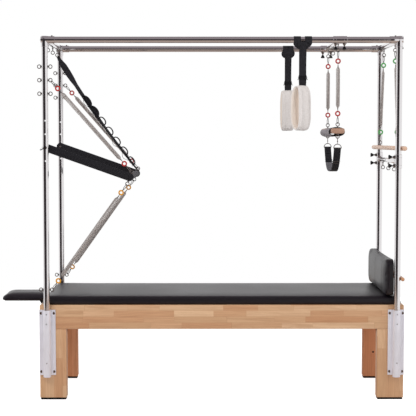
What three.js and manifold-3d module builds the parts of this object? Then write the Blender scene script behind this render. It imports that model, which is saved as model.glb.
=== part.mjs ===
// Pilates trapeze table: a block-board base and mattress under a tubular canopy, with a push-through bar on
// the left posts, a trapeze on a sliding cross tube, two slings, and a roll-down bar on the right posts.
// Millimetres, +Z up, +X towards the roll-down end, +Y towards the rear long side.
// The origin is on the floor under the middle of the whole table.
import * as THREE from "three";
import { mergeVertices } from "three/addons/utils/BufferGeometryUtils.js";
import Module from "manifold-3d";

const wasm = await Module();
wasm.setup();

// Clearances and overruns
const SEAT_GAP = 0.3;
const RUNNING_GAP = 0.8;
const SINK = 1.5;
const OVERRUN = 3;
const MERGE = 1e-3;

// Facets
const TUBE_SIDES = 16;
const SMALL_SIDES = 8;
const WIRE_SIDES = 4;

// Wooden base
const BASE_LENGTH = 2200;
const BASE_WIDTH = 700;
const BASE_HEIGHT = 577;
const APRON_DEPTH = 146;
const APRON_THICK = 35;
const LEG_WIDTH = 160;
const LEG_THICK = 70;
const WOOD_EASE = 4;
const FOOT_THICK = 12;
const FOOT_INSET = 4;
const DECK_THICK = 18;
const BATTEN_WIDTH = 60;
const BATTEN_DEPTH = 40;
const BATTEN_SHARES = [-0.28, 0, 0.28];

// Mattress
const MATTRESS_END_INSET = 5;
const MATTRESS_SIDE_INSET = 8;
const MATTRESS_HEIGHT = 56;
const MATTRESS_CORNER = 34;
const MATTRESS_ROLL = 20;
const MATTRESS_CROWN = 6;
const MATTRESS_DRAWN = 3;

// Tubes of the canopy
const TUBE_R = 19;
const TUBE_WALL = 2;
const POST_INSET = 48;
const POST_STANDOFF = 30;
const RAIL_Z = 2164;

// Post sockets
const SOCKET_BOTTOM = 145;
const SOCKET_LENGTH = 405;
const SOCKET_WIDTH = 98;
const SOCKET_FLANGE = 8;
const SOCKET_BOSS_R = 23;
const SOCKET_BOSS_DROP = 8;
const SOCKET_NECK = 30;
const SOCKET_FLOOR = 8;
const SCREW_R = 5.5;
const SCREW_HEIGHT = 3.5;
const SCREW_INSET_X = 11;
const SCREW_INSET_Z = 21;

// Corner fittings of the canopy
const SLEEVE_R = 21.8;
const RAIL_SLEEVE = 60;
const POST_SLEEVE = 42;
const TUBE_STOP = 22;
const CORNER_BOLT_R = 5;
const CORNER_BOLT_HEIGHT = 5;
const CORNER_BOLT_X = 42;

// Eyebolts
const EYE_R = 10.5;
const EYE_WIRE = 2.5;
const EYE_STEM_R = 3.2;
const EYE_STEPS = 8;
const POST_EYE_REACH = 33;
const LOW_EYE_Z = 675;
const CROSS_EYE_DROP = 50;
const CROSS_EYE_Y = 225;

// Push-through bar
const PIVOT_Z = 1526;
const HOLE_PITCH = 80;
const HOLE_STEPS = [-1, 0, 1, 2];
const EYE_STEPS_UP = [4, 5, 6];
const SPRUNG_STEP = 5;
const HOLE_R = 5.8;
const PIN_R = 5;
const PIN_HEAD_R = 11;
const PIN_HEAD = 6;
const PIN_LEVER = 22;
const PIN_LEVER_R = 2.5;
const BUTTON_R = 6;
const BUTTON_HEIGHT = 3;
const ARM_LENGTH = 530;
const ARM_R = 22;
const ARM_THICK = 12;
const ARM_EASE = 2;
const ARM_DROP = THREE.MathUtils.degToRad(19.5);
const ARM_EYE_UP = 34;
const ARM_EYE_DOWN = 42;
const CROSS_BAR_R = 12;
const GRIP_R = 20;
const GRIP_MIDDLE_GAP = 14;
const GRIP_END_GAP = 5;

// Springs
const SPRING_R = 10.5;
const ROLL_SPRING_R = 7.5;
const SPRING_WIRE_R = 1.5;
const SPRING_CURLS = 5;
const CURL_STEPS = 8;
const CURL_SIDES = 5;
const SPRING_RING_R = 12.2;
const SPRING_RING_WIRE = 2.8;
const SPRING_RING_STEPS = 8;
const HOOK_STEPS = 6;
const HOOK_R = 8.5;
const HOOK_WIRE = 2;
const HOOK_REACH = 60;
const HOOK_GAP = 0.7;
const RING_TO_COIL = 34;

// Safety strap
const STRAP_THICK = 5;
const STRAP_WIDTH = 20;
const STRAP_PITCH = 82;
const STRAP_LOOP_R = 20;
const STRAP_LOOP_WIRE = 2;
const STRAP_LOOPS = 7;
const STRAP_LOOP_STEPS = 6;

// Clamp sliders
const SLIDER_X = 699;
const SLIDER_Z = 1444;
const COLLAR_LENGTH = 82;
const COLLAR_R = 22.5;
const SLIDER_TUBE_R = 15;
const SLIDER_EYE_DROP = 54;
const SLIDER_EYE_Y = 285;
const ROLL_SLIDER_EYE_DROP = 51;
const CLAMP_HALF_PITCH = 26;
const CLAMP_BOSS_R = 10.5;
const CLAMP_NECK_R = 4;
const CLAMP_BOSS_DEPTH = 13;
const STUD_R = 3;
const STUD_LENGTH = 16;
const KNOB_GAP = 3;
const KNOB_R = 12;
const KNOB_TOP_R = 5.5;
const KNOB_RIM = 4;
const KNOB_DEPTH = 20;
const KNOB_SIDES = 10;

// Trapeze
const TRAPEZE_EYE_Z = 1665;
const TRAPEZE_BAR_TOP = 1642;
const TRAPEZE_BAR_WIDTH = 80;
const TRAPEZE_BAR_DEPTH = 32;
const TRAPEZE_BAR_LENGTH = 620;
const TRAPEZE_BAR_ROUND = 9;
const TRAPEZE_PAD_LENGTH = 530;
const TRAPEZE_PAD_WIDTH = 94;
const TRAPEZE_PAD_DEPTH = 54;
const TRAPEZE_LOW_EYE = 18;
const TRAPEZE_PAD_POINTS = 16;

// Foot strap
const FOOT_RING_Z = 1523;
const FOOT_RING_R = 23;
const FOOT_RING_WIRE = 2.5;
const FOOT_STRAP_BOTTOM = 1375;
const WEBBING_WIDTH = 40;
const WEBBING_THICK = 4;
const FOOT_STRAP_STEPS = 12;
const FOOT_STRAP_POWER = 3.2;

// Slings
const FRONT_SLING_X = 478;
const REAR_SLING_X = 445;
const FRONT_SLING_TURN = THREE.MathUtils.degToRad(20);
const REAR_SLING_TURN = THREE.MathUtils.degToRad(4);
const WRAP_R = 25;
const WRAP_WIDTH = 46;
const WRAP_GAP = 4;
const WRAP_BRIDGE = 16;
const ADJUSTER_WIDTH = 48;
const ADJUSTER_THICK = 12;
const ADJUSTER_DEPTH = 32;
const ADJUSTER_DROP = 231;
const FLEECE_DROP = 269;
const FLEECE_LENGTH = 267;
const FLEECE_THICK = 80;
const FLEECE_BAND = 85;
const FLEECE_WALL = 9;
const FLEECE_POINTS = 18;
const FLEECE_FOLD = 6;
const FLEECE_TAPER_SHARE = 0.2;

// Roll-down bar
const DOWEL_R = 13.5;
const DOME_SHARE = 0.7;
const ROLL_BAR_LENGTH = 826;
const ROLL_BAR_Z = 1521;
const ROLL_EYE_RISE = 33;

// Back pad
const PAD_LENGTH = 756;
const PAD_HEIGHT = 220;
const PAD_THICK = 52;
const PAD_CORNER = 46;
const PAD_ROLL = 14;
const PAD_CROWN = 6;
const PAD_DRAWN = 3;
const PAD_DOWEL_R = 11;
const PAD_DOWEL_LENGTH = 812;
const PAD_DOWEL_Z = 738;
const PAD_SPACER_R = 9;
const PAD_SPACER_Y = 250;

// Extension at the left end
const EXTENSION_LENGTH = 267;
const EXTENSION_WIDTH = 262;
const EXTENSION_HEIGHT = 52;
const EXTENSION_CORNER = 30;
const EXTENSION_ROLL = 18;
const EXTENSION_CROWN = 9;
const EXTENSION_DRAWN = 4;
const EXTENSION_TOP = 628;
const EXTENSION_BOARD_INSET = 16;
const EXTENSION_END_GAP = 10;
const TONGUE_WIDTH = 36;
const TONGUE_DEPTH = 18;
const TONGUE_Y = 80;
const TONGUE_INSIDE = 200;

// Sizes that follow from the ones above
const APRON_BOTTOM = BASE_HEIGHT - APRON_DEPTH;
const DECK_BOTTOM = BASE_HEIGHT - DECK_THICK;
const HALF_LENGTH = BASE_LENGTH / 2;
const HALF_WIDTH = BASE_WIDTH / 2;
const POST_X = HALF_LENGTH - POST_INSET;
const POST_Y = HALF_WIDTH + POST_STANDOFF;
const TUBE_BORE_R = TUBE_R - TUBE_WALL;
const FIT_R = TUBE_R + RUNNING_GAP;
const MATTRESS_BOTTOM = BASE_HEIGHT + SEAT_GAP;
const MATTRESS_TOP = MATTRESS_BOTTOM + MATTRESS_HEIGHT;
const POST_BOTTOM = SOCKET_BOTTOM + SOCKET_FLOOR + SEAT_GAP;
const POST_TOP = RAIL_Z - TUBE_STOP - SEAT_GAP;
const ARM_OUTER = POST_Y - TUBE_R - RUNNING_GAP;
const ARM_INNER = ARM_OUTER - ARM_THICK;
const ARM_Y = ARM_OUTER - ARM_THICK / 2;
const ROLL_BAR_TURN = Math.asin((TUBE_R + DOWEL_R + RUNNING_GAP) / POST_Y);

const X_AXIS = new THREE.Vector3(1, 0, 0);
const Y_AXIS = new THREE.Vector3(0, 1, 0);
const Z_AXIS = new THREE.Vector3(0, 0, 1);
const LEFT = new THREE.Vector3(-1, 0, 0);
const DOWN = new THREE.Vector3(0, 0, -1);

// Finishes
const wood = new THREE.MeshStandardMaterial({ color: 0xc69c74, roughness: 0.5 });
const darkRubber = new THREE.MeshStandardMaterial({ color: 0x1c1b1d, roughness: 0.8 });
const vinyl = new THREE.MeshStandardMaterial({ color: 0x242326, roughness: 0.45 });
const chrome = new THREE.MeshStandardMaterial({ color: 0xc9c6c6, roughness: 0.15, metalness: 1 });
const aluminium = new THREE.MeshStandardMaterial({ color: 0xc8c6cd, roughness: 0.45, metalness: 0.8 });
const blackPaint = new THREE.MeshStandardMaterial({ color: 0x26252a, roughness: 0.5 });
const foam = new THREE.MeshStandardMaterial({ color: 0x5b595d, roughness: 0.9 });
const webbing = new THREE.MeshStandardMaterial({ color: 0x1b1a1c, roughness: 0.85 });
const fleece = new THREE.MeshStandardMaterial({ color: 0xdfd9d5, roughness: 1 });
const steel = new THREE.MeshStandardMaterial({ color: 0xb9b4b0, roughness: 0.3, metalness: 1 });

function vec(x, y, z) {
  return new THREE.Vector3(x, y, z);
}

// A closed geometry as a solid that can be joined and cut.
function solidOf(geometry) {
  const loose = geometry.index ? geometry.toNonIndexed() : geometry;
  const bare = new THREE.BufferGeometry().setAttribute("position", loose.getAttribute("position"));
  const merged = mergeVertices(bare, MERGE);
  return new wasm.Manifold(
    new wasm.Mesh({
      numProp: 3,
      vertProperties: merged.attributes.position.array,
      triVerts: new Uint32Array(merged.index.array),
    }),
  );
}

function geometryOf(solid) {
  const mesh = solid.getMesh();
  const geometry = new THREE.BufferGeometry();
  const places = new Float32Array(mesh.vertProperties);
  geometry.setAttribute("position", new THREE.BufferAttribute(places, mesh.numProp));
  geometry.setIndex(new THREE.BufferAttribute(new Uint32Array(mesh.triVerts), 1));
  return geometry;
}

function join(...geometries) {
  return geometryOf(geometries.map(solidOf).reduce((whole, piece) => whole.add(piece)));
}

function cut(body, ...tools) {
  return geometryOf(tools.map(solidOf).reduce((rest, tool) => rest.subtract(tool), solidOf(body)));
}

// Turns a geometry whose axis is +Y on to the line between two points.
function along(geometry, from, to) {
  const way = to.clone().sub(from).normalize();
  geometry.applyQuaternion(new THREE.Quaternion().setFromUnitVectors(Y_AXIS, way));
  return geometry.translate(...from.clone().add(to).divideScalar(2));
}

function rod(from, to, radius, sides = TUBE_SIDES, endRadius = radius) {
  const length = from.distanceTo(to);
  return along(new THREE.CylinderGeometry(endRadius, radius, length, sides), from, to);
}

// A turned dowel along Y about the origin, with domed ends.
function dowel(length, radius) {
  const DOME_STEPS = 3;
  const profile = [];
  for (let step = 0; step <= DOME_STEPS; step++) {
    const angle = ((step / DOME_STEPS) * Math.PI) / 2;
    const height = DOME_SHARE * radius * Math.cos(angle) + length / 2 - DOME_SHARE * radius;
    const reach = step === 0 ? 0 : radius * Math.sin(angle);
    profile.unshift(new THREE.Vector2(reach, height));
    profile.push(new THREE.Vector2(reach, -height));
  }
  profile.sort((a, b) => a.y - b.y);
  return new THREE.LatheGeometry(profile, TUBE_SIDES);
}

// An open-ended tube: a wall section turned about the line between two points.
function pipe(from, to, outer, inner, sides = TUBE_SIDES) {
  const half = from.distanceTo(to) / 2;
  const wall = [
    [inner, -half],
    [outer, -half],
    [outer, half],
    [inner, half],
    [inner, -half],
  ];
  const profile = wall.map(([radius, height]) => new THREE.Vector2(radius, height));
  return along(new THREE.LatheGeometry(profile, sides), from, to);
}

function ring(centre, normal, radius, wire, steps = EYE_STEPS, sides = WIRE_SIDES) {
  const torus = new THREE.TorusGeometry(radius, wire, sides, steps);
  torus.applyQuaternion(new THREE.Quaternion().setFromUnitVectors(Z_AXIS, normal));
  return torus.translate(...centre);
}

function block(width, depth, height, x, y, z) {
  return new THREE.BoxGeometry(width, depth, height).translate(x, y, z);
}

// A rectangle with its corners cut off, as a shape.
function easedRectangle(width, depth, ease) {
  const shape = new THREE.Shape();
  const right = width / 2;
  const top = depth / 2;
  shape.moveTo(ease - right, -top);
  shape.lineTo(right - ease, -top);
  shape.lineTo(right, ease - top);
  shape.lineTo(right, top - ease);
  shape.lineTo(right - ease, top);
  shape.lineTo(ease - right, top);
  shape.lineTo(-right, top - ease);
  shape.lineTo(-right, ease - top);
  shape.closePath();
  return shape;
}

// A board or post of wood with all its edges eased, standing on its centre.
function easedBlock(width, depth, height, ease = WOOD_EASE) {
  const section = easedRectangle(width - 2 * ease, depth - 2 * ease, ease);
  const geometry = new THREE.ExtrudeGeometry(section, {
    depth: height - 2 * ease,
    bevelThickness: ease,
    bevelSize: ease,
    bevelSegments: 1,
  });
  return geometry.translate(0, 0, ease - height / 2);
}

// A flat shape in the X-Z plane, given a thickness along Y about the middle.
function upright(shape, thick, ease) {
  const geometry = new THREE.ExtrudeGeometry(shape, {
    depth: thick - 2 * ease,
    bevelEnabled: ease > 0,
    bevelThickness: ease,
    bevelSize: ease,
    bevelOffset: -ease,
    bevelSegments: 1,
    curveSegments: SMALL_SIDES,
  });
  return geometry.translate(0, 0, ease - thick / 2).rotateX(Math.PI / 2);
}

// An eyebolt: a stem from a point inside its carrier and a ring around the centre of the eye.
function eyebolt(root, centre, normal = Y_AXIS) {
  const way = centre.clone().sub(root).normalize();
  const stemEnd = centre.clone().addScaledVector(way, -EYE_R);
  return join(rod(root, stemEnd, EYE_STEM_R, WIRE_SIDES), ring(centre, normal, EYE_R, EYE_WIRE));
}

// One closed outline of a cushion, inset from its full size, with its sides drawn in between the corners.
function cushionOutline(length, width, corner, drawn, inset) {
  const CORNER_STEPS = 3;
  const SIDE_STEPS = 3;
  const radius = Math.max(corner - inset, corner / 4);
  const right = length / 2 - inset - radius;
  const top = width / 2 - inset - radius;
  const centres = [
    [right, top],
    [-right, top],
    [-right, -top],
    [right, -top],
  ];
  const points = [];
  centres.forEach(([x, y], quarter) => {
    for (let step = 0; step <= CORNER_STEPS; step++) {
      const angle = ((quarter + step / CORNER_STEPS) * Math.PI) / 2;
      points.push([x + radius * Math.cos(angle), y + radius * Math.sin(angle)]);
    }
    const [nextX, nextY] = centres[(quarter + 1) % centres.length];
    const out = ((quarter + 1) * Math.PI) / 2;
    for (let step = 1; step < SIDE_STEPS; step++) {
      const share = step / SIDE_STEPS;
      const pull = drawn * 4 * share * (1 - share);
      const reach = radius - pull;
      points.push([
        x + (nextX - x) * share + reach * Math.cos(out),
        y + (nextY - y) * share + reach * Math.sin(out),
      ]);
    }
  });
  return points;
}

// A padded cushion lying on the X-Y plane: edges rolled over, sides drawn in and the top crowned.
function cushion({ length, width, height, corner, roll, crown, drawn }) {
  const ROLL_STEPS = 2;
  const TOP_SHARES = [
    [0.35, 0.4],
    [0.8, 0],
  ];
  const levels = [];
  for (let step = 0; step <= ROLL_STEPS; step++) {
    const angle = ((step / ROLL_STEPS) * Math.PI) / 2;
    levels.push([roll * (1 - Math.sin(angle)), roll * (1 - Math.cos(angle))]);
  }
  const shoulder = height - crown - roll;
  for (let step = 0; step <= ROLL_STEPS; step++) {
    const angle = ((step / ROLL_STEPS) * Math.PI) / 2;
    levels.push([roll * (1 - Math.cos(angle)), shoulder + roll * Math.sin(angle)]);
  }
  const reach = Math.min(length, width) / 4;
  for (const [reachShare, fallShare] of TOP_SHARES) {
    levels.push([roll + reach * reachShare, height - crown * fallShare]);
  }
  const places = [];
  const faces = [];
  let count = 0;
  for (const [inset, z] of levels) {
    const outline = cushionOutline(length, width, corner, drawn, inset);
    count = outline.length;
    for (const [x, y] of outline) places.push(x, y, z);
  }
  for (let level = 0; level + 1 < levels.length; level++) {
    for (let i = 0; i < count; i++) {
      const a = level * count + i;
      const b = level * count + ((i + 1) % count);
      faces.push(a, b, b + count, a, b + count, a + count);
    }
  }
  const bottom = places.length / 3;
  places.push(0, 0, 0, 0, 0, height);
  const last = (levels.length - 1) * count;
  for (let i = 0; i < count; i++) {
    const next = (i + 1) % count;
    faces.push(bottom, next, i, bottom + 1, last + i, last + next);
  }
  const geometry = new THREE.BufferGeometry();
  geometry.setAttribute("position", new THREE.Float32BufferAttribute(places, 3));
  return geometry.setIndex(faces);
}

// The wire of a spring along +Z from 0 to its length: straight ends on the axis and a helix between them.
function springPath(length, radius) {
  const turns = SPRING_CURLS;
  const lead = 2 * SPRING_WIRE_R;
  const steps = turns * CURL_STEPS;
  const points = [vec(0, 0, 0), vec(0, 0, lead)];
  const pitch = (length - 4 * lead) / turns;
  for (let step = 0; step <= steps; step++) {
    const turn = step / CURL_STEPS;
    const angle = turn * 2 * Math.PI;
    points.push(
      vec(radius * Math.cos(angle), radius * Math.sin(angle), 2 * lead + pitch * turn),
    );
  }
  points.push(vec(0, 0, length - lead), vec(0, 0, length));
  return points;
}

// A closed tube round a list of points, with each section square to the run there.
function tubeAlong(points, radius, sides) {
  const places = [];
  const faces = [];
  const side = vec(0, 1, 0);
  points.forEach((point, index) => {
    const before = points[Math.max(index - 1, 0)];
    const after = points[Math.min(index + 1, points.length - 1)];
    const way = after.clone().sub(before).normalize();
    side.addScaledVector(way, -side.dot(way)).normalize();
    const other = way.clone().cross(side);
    for (let corner = 0; corner < sides; corner++) {
      const angle = (corner / sides) * 2 * Math.PI;
      const place = point.clone().addScaledVector(side, radius * Math.cos(angle));
      place.addScaledVector(other, radius * Math.sin(angle));
      places.push(...place);
    }
  });
  for (let step = 0; step + 1 < points.length; step++) {
    for (let corner = 0; corner < sides; corner++) {
      const a = step * sides + corner;
      const b = step * sides + ((corner + 1) % sides);
      faces.push(a, b, b + sides, a, b + sides, a + sides);
    }
  }
  const last = (points.length - 1) * sides;
  for (let corner = 1; corner + 1 < sides; corner++) {
    faces.push(0, corner + 1, corner, last, last + corner, last + corner + 1);
  }
  const geometry = new THREE.BufferGeometry();
  geometry.setAttribute("position", new THREE.Float32BufferAttribute(places, 3));
  return geometry.setIndex(faces);
}

// The least gap between stretches of one wire that lie at least a curl's half apart along it.
function leastSelfGap(points, radius) {
  let least = Infinity;
  for (let i = 0; i < points.length; i++) {
    for (let j = i + CURL_STEPS / 2; j < points.length; j++) {
      least = Math.min(least, points[i].distanceTo(points[j]) - 2 * radius);
    }
  }
  return least;
}

let leastSpringGap = Infinity;

// A spring hooked into two eyes: hook, colour ring, coil, colour ring, hook, in one body between them.
function springBetween(eyeA, eyeB, coilR = SPRING_R) {
  const flat = eyeB.clone().sub(eyeA).setY(0).normalize();
  const inside = EYE_R - EYE_WIRE - HOOK_WIRE - HOOK_GAP;
  const start = eyeA.clone().addScaledVector(flat, inside);
  const end = eyeB.clone().addScaledVector(flat, -inside);
  const way = end.clone().sub(start).normalize();
  const length = start.distanceTo(end);
  const coilStart = HOOK_REACH + RING_TO_COIL;
  const coilLength = length - 2 * coilStart;
  const path = springPath(coilLength, coilR);
  leastSpringGap = Math.min(leastSpringGap, leastSelfGap(path, SPRING_WIRE_R));
  const pieces = [tubeAlong(path, SPRING_WIRE_R, CURL_SIDES).translate(0, 0, coilStart)];
  for (const [at, sign] of [
    [0, 1],
    [length, -1],
  ]) {
    const ringAt = at + sign * HOOK_REACH;
    const hookEnd = at + sign * (2 * HOOK_R);
    const ringNear = ringAt - sign * SPRING_RING_R;
    const ringFar = ringAt + sign * SPRING_RING_R;
    const coilEnd = at + sign * (coilStart + SPRING_WIRE_R);
    pieces.push(
      ring(vec(0, 0, at + sign * HOOK_R), X_AXIS, HOOK_R, HOOK_WIRE, HOOK_STEPS),
      rod(vec(0, 0, hookEnd), vec(0, 0, ringNear), HOOK_WIRE, WIRE_SIDES),
      ring(vec(0, 0, ringAt), Y_AXIS, SPRING_RING_R, SPRING_RING_WIRE, SPRING_RING_STEPS),
      rod(vec(0, 0, ringFar), vec(0, 0, coilEnd), HOOK_WIRE, WIRE_SIDES),
    );
  }
  const across = Y_AXIS.clone().cross(way).normalize();
  const rise = way.clone().cross(across);
  const place = new THREE.Matrix4().makeBasis(across, rise, way).setPosition(start);
  return join(...pieces).applyMatrix4(place);
}

const table = new THREE.Group();

function addMesh(parent, name, geometry, material, x = 0, y = 0, z = 0) {
  const mesh = new THREE.Mesh(geometry, material);
  mesh.name = name;
  mesh.position.set(x, y, z);
  parent.add(mesh);
  return mesh;
}

const ENDS = [
  ["left", -1],
  ["right", 1],
];
const SIDES = [
  ["front", -1],
  ["rear", 1],
];

// Legs: a full block below the aprons and a tenon that stands behind them, on a rubber foot pad.
function legGeometry(end, side) {
  const blockHeight = APRON_BOTTOM - FOOT_THICK - 2 * SEAT_GAP;
  const lower = easedBlock(LEG_WIDTH, LEG_THICK, blockHeight);
  const tenonWidth = LEG_WIDTH - APRON_THICK - SEAT_GAP;
  const tenonThick = LEG_THICK - APRON_THICK - SEAT_GAP;
  const tenonHeight = DECK_BOTTOM - APRON_BOTTOM + 2 * WOOD_EASE;
  const tenonTop = DECK_BOTTOM - SEAT_GAP - (FOOT_THICK + SEAT_GAP) - blockHeight / 2;
  const tenon = block(
    tenonWidth,
    tenonThick,
    tenonHeight,
    (-end * (LEG_WIDTH - tenonWidth)) / 2,
    (-side * (LEG_THICK - tenonThick)) / 2,
    tenonTop - tenonHeight / 2,
  );
  return join(lower, tenon);
}

const base = new THREE.Group();
table.add(base);
for (const [endName, end] of ENDS) {
  for (const [sideName, side] of SIDES) {
    const x = end * (HALF_LENGTH - LEG_WIDTH / 2);
    const y = side * (HALF_WIDTH - LEG_THICK / 2);
    const legBottom = FOOT_THICK + SEAT_GAP;
    const legHeight = APRON_BOTTOM - SEAT_GAP - legBottom;
    const leg = legGeometry(end, side);
    addMesh(base, `leg_${sideName}_${endName}`, leg, wood, x, y, legBottom + legHeight / 2);
    const pad = easedBlock(LEG_WIDTH - 2 * FOOT_INSET, LEG_THICK - 2 * FOOT_INSET, FOOT_THICK, FOOT_INSET / 2);
    addMesh(base, `foot_pad_${sideName}_${endName}`, pad, darkRubber, x, y, FOOT_THICK / 2);
  }
}

const apronZ = BASE_HEIGHT - APRON_DEPTH / 2;
for (const [sideName, side] of SIDES) {
  const apron = easedBlock(BASE_LENGTH, APRON_THICK, APRON_DEPTH);
  addMesh(base, `apron_${sideName}`, apron, wood, 0, side * (HALF_WIDTH - APRON_THICK / 2), apronZ);
}

// End aprons fit between the long ones; the left one is slotted for the tongues of the extension.
const tongueZ = DECK_BOTTOM - SEAT_GAP - TONGUE_DEPTH / 2;
for (const [endName, end] of ENDS) {
  const apronLength = BASE_WIDTH - 2 * (APRON_THICK + SEAT_GAP);
  const plain = easedBlock(APRON_THICK, apronLength, APRON_DEPTH);
  const slots = SIDES.map(([, side]) =>
    block(
      APRON_THICK + 2 * OVERRUN,
      TONGUE_WIDTH + 2 * RUNNING_GAP,
      TONGUE_DEPTH + 2 * RUNNING_GAP,
      0,
      side * TONGUE_Y,
      tongueZ - apronZ,
    ),
  );
  const apron = end < 0 ? cut(plain, ...slots) : plain;
  addMesh(base, `apron_${endName}`, apron, wood, end * (HALF_LENGTH - APRON_THICK / 2), 0, apronZ);
}

// Deck board inside the aprons, with its battens glued under it.
const deckLength = BASE_LENGTH - 2 * (APRON_THICK + SEAT_GAP);
const deckWidth = BASE_WIDTH - 2 * (APRON_THICK + SEAT_GAP);
const battenWidth = deckWidth - 2 * (LEG_THICK - APRON_THICK);
const battens = BATTEN_SHARES.map((share) =>
  block(
    BATTEN_WIDTH,
    battenWidth,
    BATTEN_DEPTH + SINK,
    share * BASE_LENGTH,
    0,
    (SINK - BATTEN_DEPTH - DECK_THICK) / 2,
  ),
);
const deck = join(new THREE.BoxGeometry(deckLength, deckWidth, DECK_THICK), ...battens);
addMesh(base, "deck", deck, wood, 0, 0, DECK_BOTTOM + DECK_THICK / 2);

const mattress = cushion({
  length: BASE_LENGTH - 2 * MATTRESS_END_INSET,
  width: BASE_WIDTH - 2 * MATTRESS_SIDE_INSET,
  height: MATTRESS_HEIGHT,
  corner: MATTRESS_CORNER,
  roll: MATTRESS_ROLL,
  crown: MATTRESS_CROWN,
  drawn: MATTRESS_DRAWN,
});
addMesh(base, "mattress", mattress, vinyl, 0, 0, MATTRESS_BOTTOM);

// Post sockets: an extrusion with a flat flange on the leg, a round boss for the post and a closed floor.
function socketGeometry(side) {
  const flangeBack = side * (HALF_WIDTH + SEAT_GAP);
  const flangeY = flangeBack + (side * SOCKET_FLANGE) / 2;
  const top = SOCKET_BOTTOM + SOCKET_LENGTH;
  const flangeBottom = SOCKET_BOTTOM + SOCKET_BOSS_DROP;
  const flangeLength = top - flangeBottom;
  const middle = (top + flangeBottom) / 2;
  const flange = block(SOCKET_WIDTH, SOCKET_FLANGE, flangeLength, 0, flangeY, middle);
  const neckDepth = POST_Y - HALF_WIDTH - SEAT_GAP;
  const neckY = flangeBack + (side * neckDepth) / 2;
  const neck = block(SOCKET_NECK, neckDepth, flangeLength, 0, neckY, middle);
  const boss = rod(vec(0, side * POST_Y, SOCKET_BOTTOM), vec(0, side * POST_Y, top), SOCKET_BOSS_R);
  const screws = [];
  for (const x of [-1, 1]) {
    for (const z of [flangeBottom + SCREW_INSET_Z, top - SCREW_INSET_Z]) {
      const at = vec(x * (SOCKET_WIDTH / 2 - SCREW_INSET_X), flangeY, z);
      const head = at.clone().setY(flangeY + side * (SOCKET_FLANGE / 2 + SCREW_HEIGHT));
      screws.push(rod(at, head, SCREW_R, SMALL_SIDES));
    }
  }
  const bore = rod(
    vec(0, side * POST_Y, SOCKET_BOTTOM + SOCKET_FLOOR),
    vec(0, side * POST_Y, top + OVERRUN),
    FIT_R,
  );
  return cut(join(flange, neck, boss, ...screws), bore);
}

// Where each left post carries its eyebolts, as heights above the floor.
const eyeLevels = [...EYE_STEPS_UP.map((step) => PIVOT_Z + step * HOLE_PITCH), LOW_EYE_Z];
const holeLevels = HOLE_STEPS.map((step) => PIVOT_Z + step * HOLE_PITCH);

function postGeometry(end) {
  const plain = pipe(vec(0, 0, POST_BOTTOM), vec(0, 0, POST_TOP), TUBE_R, TUBE_BORE_R);
  if (end > 0) return plain;
  const eyes = eyeLevels.flatMap((z) =>
    [-1, 1].map((way) =>
      eyebolt(vec(way * (TUBE_R - TUBE_WALL / 2), 0, z), vec(way * POST_EYE_REACH, 0, z)),
    ),
  );
  const through = TUBE_R + OVERRUN;
  const holes = holeLevels.map((z) => rod(vec(0, -through, z), vec(0, through, z), HOLE_R, SMALL_SIDES));
  return join(cut(plain, ...holes), ...eyes);
}

const canopy = new THREE.Group();
table.add(canopy);
for (const [endName, end] of ENDS) {
  for (const [sideName, side] of SIDES) {
    const place = `${sideName}_${endName}`;
    addMesh(canopy, `post_socket_${place}`, socketGeometry(side), aluminium, end * POST_X);
    addMesh(canopy, `post_${place}`, postGeometry(end), chrome, end * POST_X, side * POST_Y);
  }
}

const railEnd = POST_X - TUBE_STOP - SEAT_GAP;
for (const [sideName, side] of SIDES) {
  const rail = pipe(vec(-railEnd, 0, 0), vec(railEnd, 0, 0), TUBE_R, TUBE_BORE_R);
  addMesh(canopy, `rail_${sideName}`, rail, chrome, 0, side * POST_Y, RAIL_Z);
}

// The cross rail of one end with its two corner fittings: sleeves for a post, a rail and the cross tube.
function endRailGeometry(end, eyePlaces) {
  const outer = [];
  const bores = [];
  for (const side of [-1, 1]) {
    const corner = vec(0, side * POST_Y, 0);
    const outside = vec(end * SLEEVE_R, side * POST_Y, 0);
    const railSide = vec(-end * RAIL_SLEEVE, side * POST_Y, 0);
    const below = vec(0, side * POST_Y, -POST_SLEEVE);
    const outerEnd = vec(0, side * (POST_Y + SLEEVE_R), 0);
    const innerEnd = vec(0, side * (POST_Y - RAIL_SLEEVE), 0);
    const railStop = vec(-end * TUBE_STOP, side * POST_Y, 0);
    const postStop = vec(0, side * POST_Y, -TUBE_STOP);
    const boltX = -end * CORNER_BOLT_X;
    const boltTop = SLEEVE_R + CORNER_BOLT_HEIGHT;
    outer.push(
      rod(outside, railSide, SLEEVE_R),
      rod(corner, below, SLEEVE_R),
      rod(outerEnd, innerEnd, SLEEVE_R),
      rod(vec(boltX, side * POST_Y, TUBE_R + SINK), vec(boltX, side * POST_Y, boltTop), CORNER_BOLT_R, SMALL_SIDES),
      rod(
        vec(end * TUBE_R, side * POST_Y, 0),
        vec(end * (SLEEVE_R + CORNER_BOLT_HEIGHT), side * POST_Y, 0),
        CORNER_BOLT_R,
        SMALL_SIDES,
      ),
    );
    const past = vec(-end * OVERRUN, 0, 0);
    bores.push(
      rod(railStop, railSide.clone().add(past), FIT_R),
      rod(postStop, below.clone().addScaledVector(DOWN, OVERRUN), FIT_R),
      rod(corner, railSide, TUBE_BORE_R),
      rod(corner, below, TUBE_BORE_R),
    );
  }
  const tube = rod(vec(0, -POST_Y, 0), vec(0, POST_Y, 0), TUBE_R);
  const hollow = rod(vec(0, -POST_Y, 0), vec(0, POST_Y, 0), TUBE_BORE_R);
  const eyes = eyePlaces.map((y) =>
    eyebolt(vec(0, y, TUBE_WALL / 2 - TUBE_R), vec(0, y, -CROSS_EYE_DROP)),
  );
  return join(cut(join(tube, ...outer), hollow, ...bores), ...eyes);
}

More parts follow.
